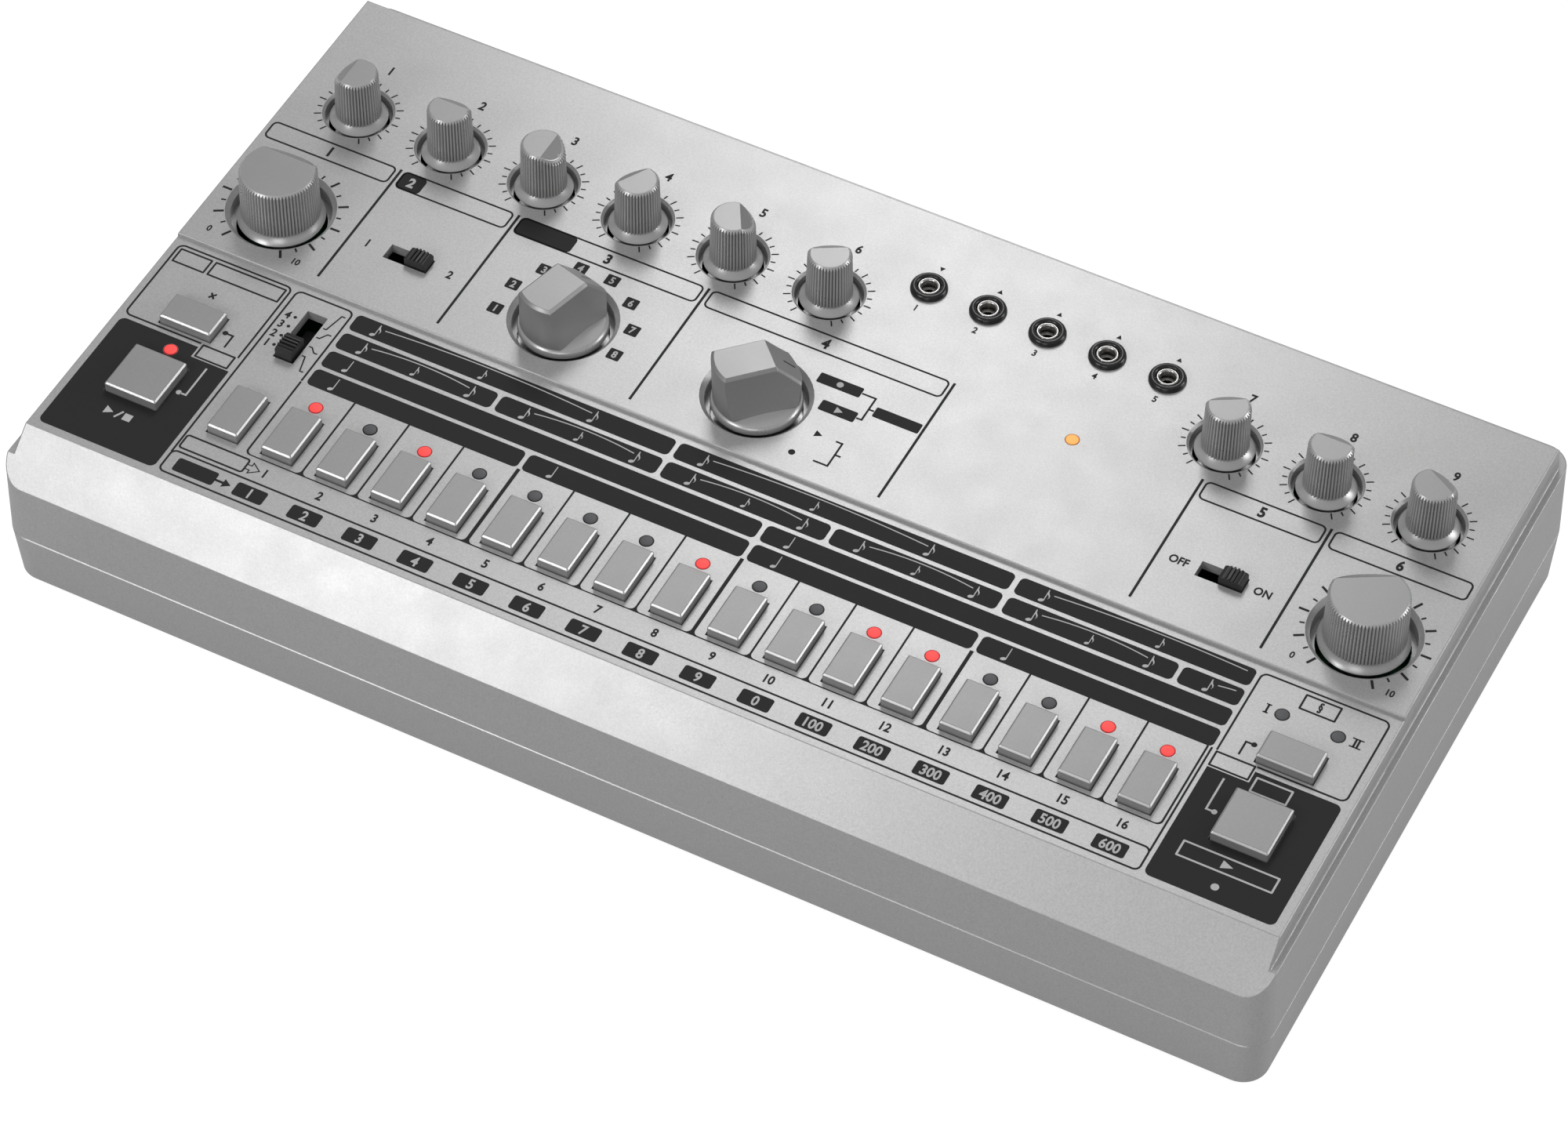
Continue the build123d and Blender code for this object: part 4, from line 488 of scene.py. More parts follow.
dark_front.line(
    (-100.6, -60.1), (-99.6, -60.1), (-99.6, -59.2), (-97.4, -60.75), (-99.6, -62.3), (-99.6, -61.4),
    (-100.6, -61.4), width=0.25,
)
TAG_FOOT, TAG_TOP, TAG_CORNER = -69.1, -65.25, 0.6
dark_front.box(-114.7, TAG_FOOT, -104.6, TAG_TOP, TAG_CORNER)
dark_front.area([
    (-104.7, -67.5), (-102.7, -67.5), (-102.7, -68.4), (-100.8, -67.2), (-102.7, -66.0), (-102.7, -66.9),
    (-104.7, -66.9),
])
FIGURES = [*"1234567890", *(f"{hundred}00" for hundred in range(1, 7))]
for figure, x in zip(FIGURES, STEP_X):
    dark_front.box(x - 3.75, TAG_FOOT, x + 3.75, TAG_TOP, TAG_CORNER)
    light_front.write(figure, x, -67.2, 2.75, weight=0.25)

# four dark rows over the step keys, with the note values of the four scales: each has its top and foot, the
# right ends of its bars but the last, and the left ends of its bars but the first
NOTE_ROWS = (
    ((-10.5, -15.5), (-21.5, 60.6), (-20.45, 61.9)),
    ((-16.6, -21.6), (-62.5, -21.5, 19.55, 60.6, 101.9), (-61.5, -20.45, 20.6, 61.9, 102.9)),
    ((-22.7, -27.75), (6.1,), (7.2,)),
    ((-28.75, CELL_TOP), (-48.85, 6.1, 60.85), (-47.8, 7.2, 61.9)),
)
for (top, bottom), ends, starts in NOTE_ROWS:
    for left, right in zip((-101.75, *starts), (*ends, 117.1)):
        dark_front.box(left, bottom, right, top, 1.2)


def note(step, y, size, tail):
    """A printed note over a step: round head, stem, and a tail on the short ones."""
    lean = radians(25)
    head = [(0.68 * cos(radians(t)), 0.42 * sin(radians(t))) for t in range(-5, -326, -20)]
    head = [(dx * cos(lean) - dy * sin(lean), dx * sin(lean) + dy * cos(lean)) for dx, dy in head]
    flag = [(0.72, 2.75), (0.95, 2.3), (1.3, 1.85), (1.38, 1.3), (1.12, 0.75)]
    flag += [(1.22, 1.3), (0.98, 1.75), (0.62, 2.1)]
    outline = [(0.42, 3.35), (0.62, 3.35)] + (flag if tail else []) + head
    light_front.area([(STEP_X[step - 1] - 0.1 + dx * size, y + dy * size) for dx, dy in outline])


def slur(first, last, ends, rise, stop=1.0):
    """A thin bow from one note towards another; its stop is the share that is drawn."""
    left = STEP_X[0] + STEP_PITCH * (first - 1) + 2.0
    right = STEP_X[0] + STEP_PITCH * (last - 1) - 0.6
    shares = [stop * i / 16 for i in range(17)]
    bow = [(left + (right - left) * t, ends + 4 * rise * t * (1 - t)) for t in shares]
    light_front.line(*bow, width=0.26)


for first in (1, 7, 13):
    note(first, -14.45, 1.0, True)
    note(first + 2, -14.6, 0.8, True)
    slur(first, first + 4, -12.2, 1.05, stop=0.862 if first == 13 else 1.0)
    if first < 13:
        note(first + 4, -14.45, 1.0, True)
for first in range(1, 17, 3):
    note(first, -20.55, 1.0, True)
    slur(first, first + 2, -18.25, 0.95, stop=0.16 if first == 16 else 1.0)
    if first < 16:
        note(first + 1, -20.7, 0.8, True)
        note(first + 2, -20.55, 1.0, True)
for step in (1, 9):
    note(step, -26.65, 1.0, False)
for step in (1, 5, 9, 13):
    note(step, -32.75, 1.0, False)

for ink in (dark_back, light_back, dark_front, light_front):
    ink.dry()


# ------------------------------------------------ feet and screws
# Four stick-on rubber feet under the tray.  Six long zinc-plated screws come up through the tray into the
# upper shell, and short ones hold the boards.  The controls under the knobs have the same plating.
rubber = Finish("foot_rubber", Roughness=0.82, Specular_IOR_Level=0.3)
scuff = rubber.noise(2.5, detail=6.0)
rubber.set("Base Color", mixed(rubber, scuff, 0.012, 0.035))
rubber.relief(rubber.noise(0.4, detail=4.0), 0.03)
dress(rubber, "rubber_feet")

zinc = Finish("zinc_plate", Metallic=1.0)
spangle = zinc.noise(1.2, detail=4.0)
zinc.set("Base Color", mixed(zinc, spangle, (0.52, 0.53, 0.55), (0.68, 0.68, 0.66)))
zinc.set("Roughness", spangle * 0.25 + 0.22)
dress(zinc, "case_screws", "board_screws", "potentiometers", "rotary_switches")


# ------------------------------------------------ boards
# Two circuit boards with a green solder mask over copper, screwed to posts inside the shells and joined by
# a ribbon connector.
mask_green = Finish("solder_mask", Roughness=0.35, Coat_Weight=0.4)
copper = mask_green.noise(3.0, detail=1.0)
mask_green.set("Base Color", mixed(mask_green, copper, (0.010, 0.11, 0.035), (0.03, 0.20, 0.07)))
mask_green.relief(copper, 0.02)
dress(mask_green, "control_board", "main_board")


# ------------------------------------------------ switch bodies and back sockets
# Black moulded bodies, soldered to the boards: the round sockets, power inlet and power switch in the back
# wall, and the connector between the boards.  The switches under the keys and levers are dark grey.
def moulded(name, low, high, roughness, grain=0.18, depth=0.012):
    """Moulded plastic with a fine spark-eroded grain and faint handling marks."""
    finish = Finish(name, Specular_IOR_Level=0.5)
    marks = finish.noise(4.0, detail=6.0, roughness=0.65)
    finish.set("Base Color", mixed(finish, marks, low, high))
    finish.set("Roughness", (marks - 0.5) * 0.18 + roughness)
    finish.relief(finish.noise(grain, detail=3.0), depth)
    return finish


black_plastic = moulded("black_plastic", 0.010, 0.022, 0.42)
switch_plastic = moulded("switch_plastic", 0.05, 0.08, 0.5)
dress(black_plastic, "board_link", "power_switch_body", "midi_sockets", "dc_inlet")
dress(switch_plastic, "tact_switches", "slide_switch_bodies")


# ------------------------------------------------ knurled knobs
# Eleven moulded caps on D shafts, in a darker silver paint.  A tapered knurl stands on a flared skirt that
# turns in its well, and the top is cut by a sloping facet that points.
knob_paint = metallic_paint("knob_silver_paint", 0.335, 0.03, 0.34, 0.38, 0.004)
# painted highlight: a lighter copy of the knob paint for the knurl's crests, the bevel and the skirt, the
# selectors' feet and the keys' bevels
painted_highlight_paint = metallic_paint("knob_painted_highlight_paint", 0.51, 0.02, 0.30, 0.42, 0.001)
# painted shade: a much darker copy of the knob paint for the knurl's grooves, where shade falls
painted_shade_paint = metallic_paint("knob_painted_shade_paint", 0.14, 0.04, 0.45, 0.30, 0.001)
TOOTH_DEPTH = 0.40
TOOTH_SHARES = (0.17, 0.41, 0.59, 0.83)  # ends of the crest and of the groove, as shares of the pitch
POINTER_NOTCH = 0.45
EDGE_BREAK = 0.08
RIDGE_BREAK = 0.07
NECK = 0.9
FLARE_STEPS = 12
SHAFT_R, SHAFT_STEPS = 3.0, 32


def ringed(points, faces, rings):
    """Add a skin through rings, lowest first, closed at its foot; return the top ring's first number."""
    start, count = len(points), len(rings[0])
    for ring in rings:
        points += ring
    for level in range(len(rings) - 1):
        low = start + level * count
        for i in range(count):
            j = (i + 1) % count
            faces.append((low + i, low + j, low + count + j, low + count + i))
    faces.append(tuple(start + i for i in reversed(range(count))))
    return start + (len(rings) - 1) * count


def capped(points, faces, rings):
    """Add a skin through rings of points that is flat at both ends."""
    last = ringed(points, faces, rings)
    faces.append(tuple(last + i for i in range(len(rings[0]))))


def turned(points, faces, profile, steps=96, x=0.0, y=0.0):
    """Add a closed turned piece from radii and heights, lowest first; its round faces are returned."""
    first = len(faces)
    around = [2 * pi * i / steps for i in range(steps)]
    capped(points, faces, [[(x + r * cos(t), y + r * sin(t), z) for t in around] for r, z in profile])
    return list(range(first, len(faces) - 2))


def pointed_top(faces, last, count, flat_side, facet_side, flat_end, facet_end):
    """Close a pointed top: its flat, broken ridge and facet meet at four columns of the top ring."""
    faces.append(tuple(last + i for i in range(flat_side, flat_end + 1)))
    faces.append((last + facet_side, last + flat_side, last + flat_end, last + facet_end))
    faces.append(tuple(last + i % count for i in range(facet_end, facet_side + count + 1)))


def body_of(node):
    """A moving piece's body has its node's name; the rest belongs to the case."""
    moves = any(kind in node for kind in ("_knob", "_button", "_lever"))
    return node if moves else "case"


def fitted(node, points, faces, finishes, smooth, place=(0.0, 0.0, 0.0), heading=0.0, marked=()):
    """Make a piece from points in millimetres and put it where a CAD node stands, on the same body.

    The smooth faces are shaded as one curve.  Each group of marked faces takes the next finish in the list.
    """
    skin = bpy.data.meshes.new(f"{node}_skin")
    skin.from_pydata([Vector(point) * MM for point in points], [], faces)
    for finish in finishes:
        skin.materials.append(finish.material)
    for index, group in enumerate(marked, 1):
        for face in group:
            skin.polygons[face].material_index = index
    skin.set_sharp_from_angle(angle=radians(35))
    curved = set(smooth)
    skin.polygons.foreach_set("use_smooth", [face in curved for face in range(len(skin.polygons))])
    piece = bpy.data.objects.new(f"{node}_piece", skin)
    piece.location = Vector(place) * MM
    piece.rotation_euler.z = radians(heading)
    bpy.context.scene.collection.objects.link(piece)
    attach(piece, body_of(node))
    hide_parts(node)


def nearest(angles, turn):
    """Number of the column whose angle is nearest to a turn."""
    return min(range(len(angles)), key=lambda i: abs(angles[i] - turn))


def knurled_knob(
    name, heading, teeth, foot_r, top_r, base, top, bevel, ridge, drop, skirt_r, flare_r, skirt_edge, foot
):
    """Make one knob; heights are over the plate, and the facet's drop is in degrees."""
    points, faces = [], []
    slope = tan(radians(drop))
    rim_r = top_r - bevel
    flat_r = rim_r - EDGE_BREAK
    pitch = 2 * pi / teeth
    angles = [pitch * (tooth + share) for tooth in range(teeth) for share in TOOTH_SHARES]
    flat_turn, facet_turn = acos((ridge - RIDGE_BREAK) / flat_r), acos((ridge + RIDGE_BREAK) / flat_r)
    ridge_turns = (flat_turn, facet_turn, 2 * pi - flat_turn, 2 * pi - facet_turn)
    for turn in ridge_turns:
        angles[nearest(angles, turn)] = turn

    def height(x):
        return top - max(0.0, x - ridge) * slope

    def wall(z, valley):
        return foot_r + (top_r - foot_r) * (z - base) / (top - base) - valley

    columns = []
    for column, angle in enumerate(angles):
        valley = TOOTH_DEPTH if column % 4 in (1, 2) else 0.0
        notch = POINTER_NOTCH if column in (0, len(angles) - 1) else 0.0
        ray = Vector((cos(angle), sin(angle)))
        high = Vector((rim_r, height(rim_r * ray.x)))
        low = Vector((top_r, height(top_r * ray.x) - bevel))
        outer = top_r - max(valley, notch)
        brink = high.lerp(low, max(0.3, (outer - rim_r) / bevel))
        wall_z = brink.y - EDGE_BREAK
        under_z = wall_z - NECK
        slant = (low - high).normalized()
        levels = (
            (wall(base, valley), base),
            (wall(under_z, valley), under_z),
            (wall(wall_z, valley) - notch, wall_z),
            tuple(brink - slant * EDGE_BREAK),
            tuple(high + slant * EDGE_BREAK),
            (flat_r - notch, height((flat_r - notch) * ray.x)),
        )
        columns.append([(radius * ray.x, radius * ray.y, z) for radius, z in levels])
    last = ringed(points, faces, list(zip(*columns)))
    # painted shade: the groove floors of the knurl take the darker copy of the paint
    shaded_grooves = [face for face in range(2 * len(angles)) if face % 4 == 1]
    # painted highlight: the crests and the bevel, and below them the skirt, take the lighter copy of the
    # paint
    highlight_faces = [face for face in range(5 * len(angles)) if face not in shaded_grooves]
    pointed_top(faces, last, len(angles), *[nearest(angles, turn) for turn in ridge_turns])

    # skirt: hollow flare between the knurl's foot and a thin undercut rim, then the shaft
    crown_r = foot_r - TOOTH_DEPTH - 0.02
    run, fall = skirt_r - crown_r, base - skirt_edge
    chord = hypot(run, fall)
    reach = sqrt(flare_r**2 - (chord / 2) ** 2)
    middle = Vector((crown_r + run / 2 + reach * fall / chord, base - fall / 2 + reach * run / chord))
    start = atan2(skirt_edge - middle.y, skirt_r - middle.x) % (2 * pi)
    end = atan2(base - middle.y, crown_r - middle.x) % (2 * pi)
    flare = [start + (end - start) * i / FLARE_STEPS for i in range(1, FLARE_STEPS + 1)]
    undercut = (skirt_edge - foot) / 2
    profile = [(skirt_r - undercut, foot), (skirt_r - 0.08, skirt_edge - 0.12), (skirt_r, skirt_edge)]
    profile += [(middle.x + flare_r * cos(t), middle.y + flare_r * sin(t)) for t in flare]
    smooth = turned(points, faces, profile)
    highlight_faces += smooth
    shaft_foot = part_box(f"{name}_knob")[0].z / MM - BACK_PLATE
    smooth += turned(points, faces, [(SHAFT_R, shaft_foot), (SHAFT_R, foot + 0.4)], SHAFT_STEPS)
    spot = KNOBS[name]
    paints = [knob_paint, painted_shade_paint, painted_highlight_paint]
    place = (spot.x, spot.y, BACK_PLATE)
    fitted(f"{name}_knob", points, faces, paints, smooth, place, heading, [shaded_grooves, highlight_faces])


SMALL_SHAPE = {
    "teeth": 44, "foot_r": 5.35, "top_r": 5.0, "base": 0.3, "top": 12.7, "bevel": 0.65, "ridge": 1.7,
    "drop": 38.0, "skirt_r": 6.75, "flare_r": 9.3, "skirt_edge": -1.15, "foot": -1.9,
}
LARGE_SHAPE = {
    "teeth": 72, "foot_r": 9.15, "top_r": 8.85, "base": 0.05, "top": 12.6, "bevel": 0.6, "ridge": 4.9,
    "drop": 42.0, "skirt_r": 10.08, "flare_r": 6.3, "skirt_edge": -1.84, "foot": -2.6,
}
for name, heading in zip(SMALL_KNOBS, (180, 90, 0, 150, 30, 120, 120, 90, 60)):
    knurled_knob(name, heading, **SMALL_SHAPE)
for name, heading in zip(LARGE_KNOBS, (90, 120)):
    knurled_knob(name, heading, **LARGE_SHAPE)


# ------------------------------------------------ selector knobs
# Two moulded bars on round feet, with hollow sides, a bevelled top and a steep facet towards the pointing
# end.  A fine dark line on the facet is the pointer.
SELECTOR_TOP, SHELF = 12.6, 0.65
SELECTOR_RIDGE, SELECTOR_BEVEL, NOSE_BEVEL = 3.1, 0.7, 0.16
SELECTOR_SLOPE = tan(radians(48.7))
BAR_HALF, BAR_TAPER, BAR_HOLLOW = 6.2, 1.3, 1.8
BAR_REACH, BAR_FLARE = 9.8, 0.3
END_STEPS, SIDE_STEPS, WALL_STEPS, FOOT_STEPS = 24, 20, 9, 128
ROUNDS = 12  # enough to settle where the wall meets the sloping top


def bar_side(z):
    """Half width of the bar at a height, hollowed in between foot and top."""
    share = (z - SHELF) / (SELECTOR_TOP - SHELF)
    return BAR_HALF - BAR_TAPER * share - BAR_HOLLOW * share * (1 - share)


def bar_point(column, z, inset):
    """Point of the bar's outline: a share of the nose, one side, the back or the other side."""
    part, share = column
    radius = BAR_REACH + BAR_FLARE * (z - SHELF) / (SELECTOR_TOP - SHELF) - inset
    half = bar_side(z) - inset
    corner = sqrt(radius**2 - half**2)
    spread = asin(half / radius)
    if part == "side":
        return Vector((corner - 2 * corner * share, half))
    if part == "other side":
        return Vector((-corner + 2 * corner * share, -half))
    angle = spread * (2 * share - 1)
    return Vector((radius * cos(angle), radius * sin(angle))) * (1 if part == "nose" else -1)


def selector_height(x):
    """Height of the flat top, or of the facet beyond the ridge."""
    return SELECTOR_TOP - max(0.0, x - SELECTOR_RIDGE) * SELECTOR_SLOPE


def bar_wall(column, share_up, lowered):
    """Point at a share of the way up the bar's wall, which ends a little lower than the sloping top."""
    z = SELECTOR_TOP * share_up
    for _ in range(ROUNDS):
        side = bar_point(column, z, 0.0)
        z = SHELF - 0.2 + share_up * (selector_height(side.x) - lowered - SHELF + 0.2)
    return Vector((*bar_point(column, z, 0.0), z))


def bar_top(column, inset):
    """Point of the bar's top, an inset away from its wall."""
    z = SELECTOR_TOP
    for _ in range(ROUNDS):
        z = selector_height(bar_point(column, z, inset).x)
    return Vector((*bar_point(column, z, inset), z))


def bar_column(column):
    """Points of one column, from the foot over the bevel to the top; the nose's bevel is narrow."""
    part, share = column
    bevel = NOSE_BEVEL if part == "nose" and share > 0 else SELECTOR_BEVEL
    brow, edge = bar_wall(column, 1.0, bevel), bar_top(column, bevel)
    slant = (edge - brow).normalized() * min(EDGE_BREAK, bevel / 3)
    up_the_wall = [bar_wall(column, i / WALL_STEPS, bevel + EDGE_BREAK) for i in range(WALL_STEPS + 1)]
    over_the_edge = [bar_top(column, bevel + EDGE_BREAK * share_in) for share_in in (0.5, 1.0)]
    return [tuple(point) for point in (*up_the_wall, brow + slant, edge - slant, *over_the_edge)]


flat_inset = SELECTOR_BEVEL + EDGE_BREAK
flat_corner = sqrt((BAR_REACH + BAR_FLARE - flat_inset) ** 2 - (BAR_HALF - BAR_TAPER - flat_inset) ** 2)
flat_share, facet_share = [(flat_corner - SELECTOR_RIDGE + d) / (2 * flat_corner) for d in (0.1, -0.1)]
side_shares = [i / SIDE_STEPS for i in range(SIDE_STEPS) if abs(i / SIDE_STEPS - flat_share) > 0.03]
side_shares = sorted([*side_shares, facet_share, flat_share])
columns = [("nose", i / END_STEPS) for i in range(END_STEPS)] + [("side", share) for share in side_shares]
columns += [("back", i / END_STEPS) for i in range(END_STEPS)]
columns += [("other side", 1 - share) for share in reversed(side_shares + [1.0]) if share > 0]
bar_rings = list(zip(*map(bar_column, columns)))
ridge_corners = [("side", flat_share), ("side", facet_share)]
ridge_corners += [("other side", 1 - flat_share), ("other side", 1 - facet_share)]
ridge_corners = [columns.index(corner) for corner in ridge_corners]

# round foot in the well, and the pointer's line, a strip sunk in the facet
SELECTOR_FOOT = [(10.2, -1.9), (10.3, -1.75), (10.12, -0.55), (10.04, -0.4), (9.5, 0.12)]
SELECTOR_FOOT += [(9.36, 0.18), (6.0, SHELF)]
LINE_CORNERS = ((4.5, -0.2), (8.6, -0.2), (8.6, 0.2), (4.5, 0.2))
ridge_point = Vector((SELECTOR_RIDGE, 0, SELECTOR_TOP))
down_facet = Vector((1, 0, -SELECTOR_SLOPE)).normalized()
off_facet = Vector((SELECTOR_SLOPE, 0, 1)).normalized()
line_rings = []
for lift in (-0.1, 0.02):
    line_rings.append([
        tuple(ridge_point + down_facet * along + off_facet * lift + Vector((0, aside, 0)))
        for along, aside in LINE_CORNERS
    ])

for name, heading in zip(SELECTORS, (75, 45)):
    points, faces = [], []
    last = ringed(points, faces, bar_rings)
    smooth = list(range(WALL_STEPS * len(columns)))
    pointed_top(faces, last, len(columns), *ridge_corners)
    round_foot = turned(points, faces, SELECTOR_FOOT, FOOT_STEPS)
    smooth += round_foot
    shaft_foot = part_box(f"{name}_knob")[0].z / MM - BACK_PLATE
    smooth += turned(points, faces, [(SHAFT_R, shaft_foot), (SHAFT_R, -1.5)], SHAFT_STEPS)
    line_start = len(faces)
    capped(points, faces, line_rings)
    spot = KNOBS[name]
    # painted highlight: the round foot takes the lighter copy of the knob paint
    fitted(
        f"{name}_knob", points, faces, [knob_paint, dark_finish, painted_highlight_paint], smooth,
        (spot.x, spot.y, BACK_PLATE), heading, marked=[range(line_start, len(faces)), round_foot],
    )


# ------------------------------------------------ keys
# Moulded caps with bevelled tops, painted like the knobs: sixteen step keys, the function key and the two
# pairs at the ends.  Each stands on the plunger of its switch and stops against the plate by a flange.
key_paint = metallic_paint("key_silver_paint", 0.335, 0.035, 0.38, 0.34, 0.004)
NARROW_CAP, SQUARE_CAP, SHALLOW_CAP = (7.65, 13.45), (13.05, 13.45), (13.05, 7.7)
CAPS = {name: NARROW_CAP for name in (*STEP_KEYS, "function_button")}
CAPS |= {"start_stop_button": SQUARE_CAP, "tap_button": SQUARE_CAP}
CAPS |= {"clear_button": SHALLOW_CAP, "pattern_group_button": SHALLOW_CAP}
KEY_STAND = 2.45
KEY_BEVEL = 0.42
FLANGE_TOP, FLANGE_FOOT, FLANGE_RIM = -2.6, -3.5, 1.0
PLUNGER_HALF, PLUNGER_RISE, POST_HALF, STEM_CORNER = 1.6, 3.3, 2.0, 0.2

# wall and bevel of a cap: inset, corner and height over the plate at each level
wall_top, slant = KEY_STAND - KEY_BEVEL, KEY_BEVEL - 0.05
CAP_LEVELS = (
    (0.0, 0.35, FLANGE_TOP - 0.1), (0.0, 0.35, wall_top - 0.08), (0.05, 0.32, wall_top + 0.03),
    (slant, 0.2, KEY_STAND - 0.05), (slant + 0.1, 0.16, KEY_STAND),
)


def block(points, faces, levels):
    """Add a closed block from its half width, half length, corner radius and height at each level."""
    rings = []
    for half_width, half_length, corner, z in levels:
        outline = rounded(-half_width, -half_length, half_width, half_length, corner, steps=4)
        rings.append([(x, y, z) for x, y in outline])
    capped(points, faces, rings)
    return len(rings[0])


for name, (width, length) in CAPS.items():
    half, reach = width / 2, length / 2
    points, faces = [], []
    cap = [(half - inset, reach - inset, corner, z) for inset, corner, z in CAP_LEVELS]
    around = block(points, faces, cap)
    block(points, faces, [(half + FLANGE_RIM, reach + FLANGE_RIM, 0.3, z) for z in (FLANGE_FOOT, FLANGE_TOP)])
    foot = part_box(name)[0].z / MM - FRONT_PLATE
    block(points, faces, [(PLUNGER_HALF, PLUNGER_HALF, STEM_CORNER, z) for z in (foot, foot + PLUNGER_RISE)])
    post = (foot + PLUNGER_RISE - 0.05, FLANGE_FOOT + 0.1)
    block(points, faces, [(POST_HALF, POST_HALF, STEM_CORNER, z) for z in post])
    spot = centre(name)
    place, bevels = (spot.x, spot.y, FRONT_PLATE), range(around, 3 * around)
    # painted highlight: the bevels take the lighter copy of the knob paint
    fitted(name, points, faces, [key_paint, painted_highlight_paint], [], place, marked=[bevels])


# ------------------------------------------------ slide levers
# Ribbed black levers of the slide switches, moulded with slightly rounded edges.
LEVERS = ("voice_select_lever", "distortion_lever", "scale_lever", "power_switch_lever")
LEVER_EDGE = 0.1
dress(black_plastic, *LEVERS)
for name in LEVERS:
    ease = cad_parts[name].modifiers.new("rounded edges", "BEVEL")
    ease.width = LEVER_EDGE * MM
    ease.segments = 2
    ease.limit_method = "ANGLE"
    ease.angle_limit = radians(35)


# ------------------------------------------------ lamps
# Flat light pipes in the panel: red ones over the keys, amber for the tempo.  Each has a darker rim.
LAMP_R, LAMP_STEPS, RIM_LEVELS = 1.6, 32, 4

# radii and heights over the plate: the rim up to the groove inside it, then the slightly domed face
LAMP_LEVELS = (
    (LAMP_R, 0.05), (1.54, 0.12), (1.44, 0.12), (1.40, 0.08), (1.2, 0.12), (0.7, 0.14), (0.1, 0.15),
)


def lens(name, colour, glow, strength):
    """Diffusing lens, brighter in the middle of its grain when lit."""
    finish = Finish(name, Roughness=0.45, Specular_IOR_Level=0.35, Emission_Strength=strength)
    haze = finish.noise(0.5, detail=3.0)
    finish.set("Base Color", mixed(finish, haze, [c * 0.85 for c in colour], colour))
    finish.set("Emission Color", mixed(finish, haze, [c * 0.9 for c in glow], glow))
    return finish


def lamps(node, spots, plate, lens_finish, rim_finish):
    """Make all lamps of one node, each a light pipe from the board up through the plate."""
    points, faces, smooth, rims = [], [], [], []
    profile = [(LAMP_R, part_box(node)[0].z / MM), *((radius, plate + rise) for radius, rise in LAMP_LEVELS)]
    for x, y in spots:
        rims += range(len(faces), len(faces) + RIM_LEVELS * LAMP_STEPS)
        smooth += turned(points, faces, profile, LAMP_STEPS, x, y)
    fitted(node, points, faces, [lens_finish, rim_finish], smooth, marked=[rims])


lamp_spots = {i: (x, centre(STEP_KEYS[0]).y + LAMP_BEHIND_KEY) for i, x in enumerate(STEP_X, 1)}
lamp_spots["start"] = (start_key.x, start_key.y + LAMP_BEHIND_KEY)
LIT = (1, 3, 8, 11, 12, 15, 16, "start")
group = centre("pattern_group_button")
unlit = [lamp_spots[i] for i in range(1, 17) if i not in LIT]
unlit += [(group.x + aside, group.y + LAMP_BEHIND_KEY) for aside in (-6.64, 6.15)]
red_lit = lens("lamp_red_lit", (0.85, 0.05, 0.045), (1.0, 0.085, 0.08), 0.66)
red_rim = lens("lamp_red_rim", (0.45, 0.03, 0.03), (0.62, 0.03, 0.04), 0.35)
smoked = lens("lamp_unlit", (0.115, 0.117, 0.125), (0.0, 0.0, 0.0), 0.0)
smoked_rim = lens("lamp_unlit_rim", (0.02, 0.02, 0.02), (0.0, 0.0, 0.0), 0.0)
amber_lit = lens("lamp_amber_lit", (1.0, 0.42, 0.10), (1.0, 0.42, 0.12), 0.6)
amber_rim = lens("lamp_amber_rim", (0.50, 0.22, 0.06), (0.6, 0.25, 0.06), 0.3)
lamps("leds_red_lit", [lamp_spots[i] for i in LIT], FRONT_PLATE, red_lit, red_rim)
lamps("leds_red_unlit", unlit, FRONT_PLATE, smoked, smoked_rim)
tempo_lamp = centre("led_amber")
lamps("led_amber", [(tempo_lamp.x, tempo_lamp.y)], BACK_PLATE, amber_lit, amber_rim)


# ------------------------------------------------ sockets
# Jack sockets in the top: black collars round nickel-plated sleeves, with the contacts' rings deep inside.
# The power, USB and round sockets and more jacks are in the back wall.
nickel = Finish("nickel_plate", Metallic=1.0)
tarnish = nickel.noise(1.5, detail=4.0)
nickel.set("Base Color", mixed(nickel, tarnish, (0.52, 0.51, 0.50), (0.62, 0.61, 0.60)))
nickel.set("Roughness", tarnish * 0.10 + 0.20)
dress(nickel, "usb_socket")
dress(black_plastic, "jack_bodies")
collar_black = moulded("collar_black", 0.008, 0.014, 0.22)


def hoop(points, faces, profile, x, y, steps=64):
    """Add a closed ring turned from a looped profile of radii and heights; its faces are returned."""
    start, first, count = len(points), len(faces), len(profile)
    for i in range(steps):
        angle = 2 * pi * i / steps
        points += [(x + radius * cos(angle), y + radius * sin(angle), z) for radius, z in profile]
    for i in range(steps):
        near, far = start + i * count, start + (i + 1) % steps * count
        for k in range(count):
            j = (k + 1) % count
            faces.append((near + k, far + k, far + j, near + j))
    return list(range(first, len(faces)))


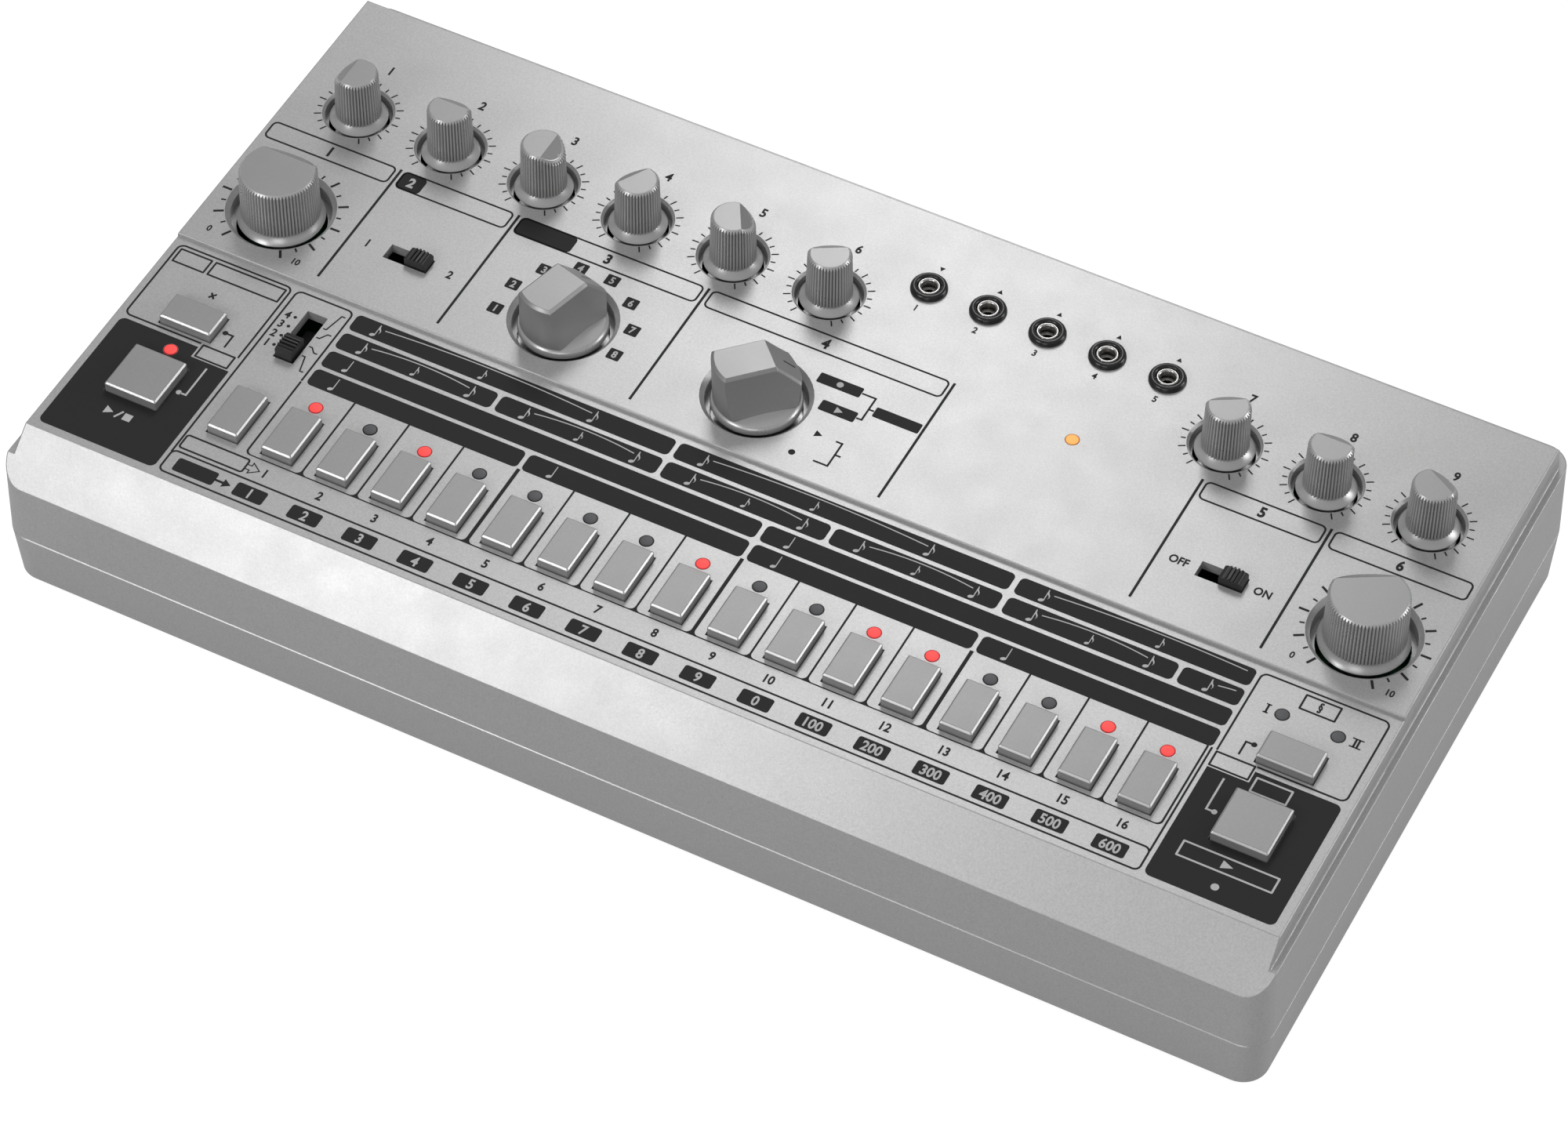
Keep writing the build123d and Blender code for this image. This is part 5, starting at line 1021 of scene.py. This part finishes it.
COLLAR = [(2.66, 44.0), (4.28, 44.0), (4.26, 44.35), (4.12, 44.8), (3.88, 45.1), (3.6, 45.24), (3.3, 45.25)]
COLLAR += [(3.0, 45.16), (2.8, 44.95), (2.7, 44.7)]
SLEEVE = [(1.78, 40.0), (2.58, 40.0), (2.58, 44.6), (2.52, 44.8), (2.38, 44.92), (2.2, 44.95), (2.02, 44.88)]
SLEEVE += [(1.86, 44.72), (1.78, 44.5)]
CONTACT = [(1.35, 41.2), (1.78, 41.2), (1.78, 42.1), (1.62, 42.3), (1.45, 42.3), (1.35, 42.1)]
jack_y = centre("jack_sleeves").y
collar_points, collar_faces, sleeve_points, sleeve_faces = [], [], [], []
for x in SOCKETS:
    hoop(collar_points, collar_faces, COLLAR, x, jack_y)
    hoop(sleeve_points, sleeve_faces, SLEEVE, x, jack_y)
    hoop(sleeve_points, sleeve_faces, CONTACT, x, jack_y)
fitted("jack_collars", collar_points, collar_faces, [collar_black], range(len(collar_faces)))
fitted("jack_sleeves", sleeve_points, sleeve_faces, [nickel], range(len(sleeve_faces)))


# ------------------------------------------------ floor, light and camera
# A plain white sweep under soft lamps, seen from the right of the player.
FLOOR_HALF = 4000.0
floor_mesh = bpy.data.meshes.new("floor")
corners = [(x * FLOOR_HALF * MM, y * FLOOR_HALF * MM, 0) for x, y in ((-1, -1), (1, -1), (1, 1), (-1, 1))]
floor_mesh.from_pydata(corners, [], [(0, 1, 2, 3)])
floor = bpy.data.objects.new("floor", floor_mesh)
bpy.context.scene.collection.objects.link(floor)
sweep = Finish("floor_white", Base_Color=rgba(0.42), Roughness=0.55, Specular_IOR_Level=0.3)
ray = sweep.node("ShaderNodeLightPath", output="Is Camera Ray")
mirror_ray = sweep.node("ShaderNodeLightPath", output="Is Glossy Ray")
sweep.set("Emission Color", mixed(sweep, (ray + mirror_ray * 0.3).limited(), 0.0, 0.84))
sweep.surface.inputs["Emission Strength"].default_value = 1.0
floor_mesh.materials.append(sweep.material)


class Sky(Finish):
    """Light from all round, built with the same nodes as a finish."""

    def __init__(self, name):
        world = bpy.data.worlds.new(name)
        bpy.context.scene.world = world
        world.use_nodes = True
        self.tree = world.node_tree
        self.surface = self.tree.nodes["Background"]


SKY_LEVELS = [(0.28, 0.20), (0.38, 0.50), (0.56, 0.50), (0.66, 0.26), (1.0, 0.60)]
sky = Sky("studio")
direction = sky.node("ShaderNodeTexCoord", output="Generated")
upward = sky.node("ShaderNodeSeparateXYZ", {}, {0: direction}, output="Z")
sky.set("Color", sky.node("ShaderNodeValToRGB", {"stops": SKY_LEVELS}, {0: upward}))


def softbox(name, place, target, width, depth, power):
    """A rectangular lamp at a place, turned to a target; places in millimetres, power in watts."""
    data = bpy.data.lights.new(name, "AREA")
    data.shape = "RECTANGLE"
    data.size = width * MM
    data.size_y = depth * MM
    data.energy = power
    lamp = bpy.data.objects.new(name, data)
    bpy.context.scene.collection.objects.link(lamp)
    lamp.location = Vector(place) * MM
    lamp.rotation_mode = "QUATERNION"
    lamp.rotation_quaternion = (Vector(target) - Vector(place)).to_track_quat("-Z", "Y")


softbox("back_softbox", (-310, 745, 850), (10, 30, 44), 290, 460, 2.1)
softbox("front_softbox", (-450, -840, 640), (-120, -77, 38), 380, 250, 2.5)
softbox("player_softbox", (250, -1000, 520), (0, 0, 44), 500, 400, 1.5)
softbox("right_softbox", (900, 560, 380), (130, -20, 44), 380, 320, 2.3)

CAMERA_PLACE = (369.385, -729.493, 964.555)
CAMERA_HEADING = 26.889  # degrees to the right of the front
CAMERA_TILT = 40.320  # degrees up from straight down
CAMERA_ROLL = 0.705
CAMERA_LENS = 129.87
camera_data = bpy.data.cameras.new("camera")
camera_data.sensor_width = 36.0
camera_data.lens = CAMERA_LENS
camera_data.clip_start = 0.05
camera = bpy.data.objects.new("camera", camera_data)
bpy.context.scene.collection.objects.link(camera)
camera_turns = ((CAMERA_HEADING, "Z"), (CAMERA_TILT, "X"), (CAMERA_ROLL, "Z"))
heading, tilt, roll = [Matrix.Rotation(radians(angle), 4, axis) for angle, axis in camera_turns]
camera.matrix_world = Matrix.Translation(Vector(CAMERA_PLACE) * MM) @ heading @ tilt @ roll
bpy.context.scene.camera = camera
bpy.context.scene.view_settings.view_transform = "Standard"
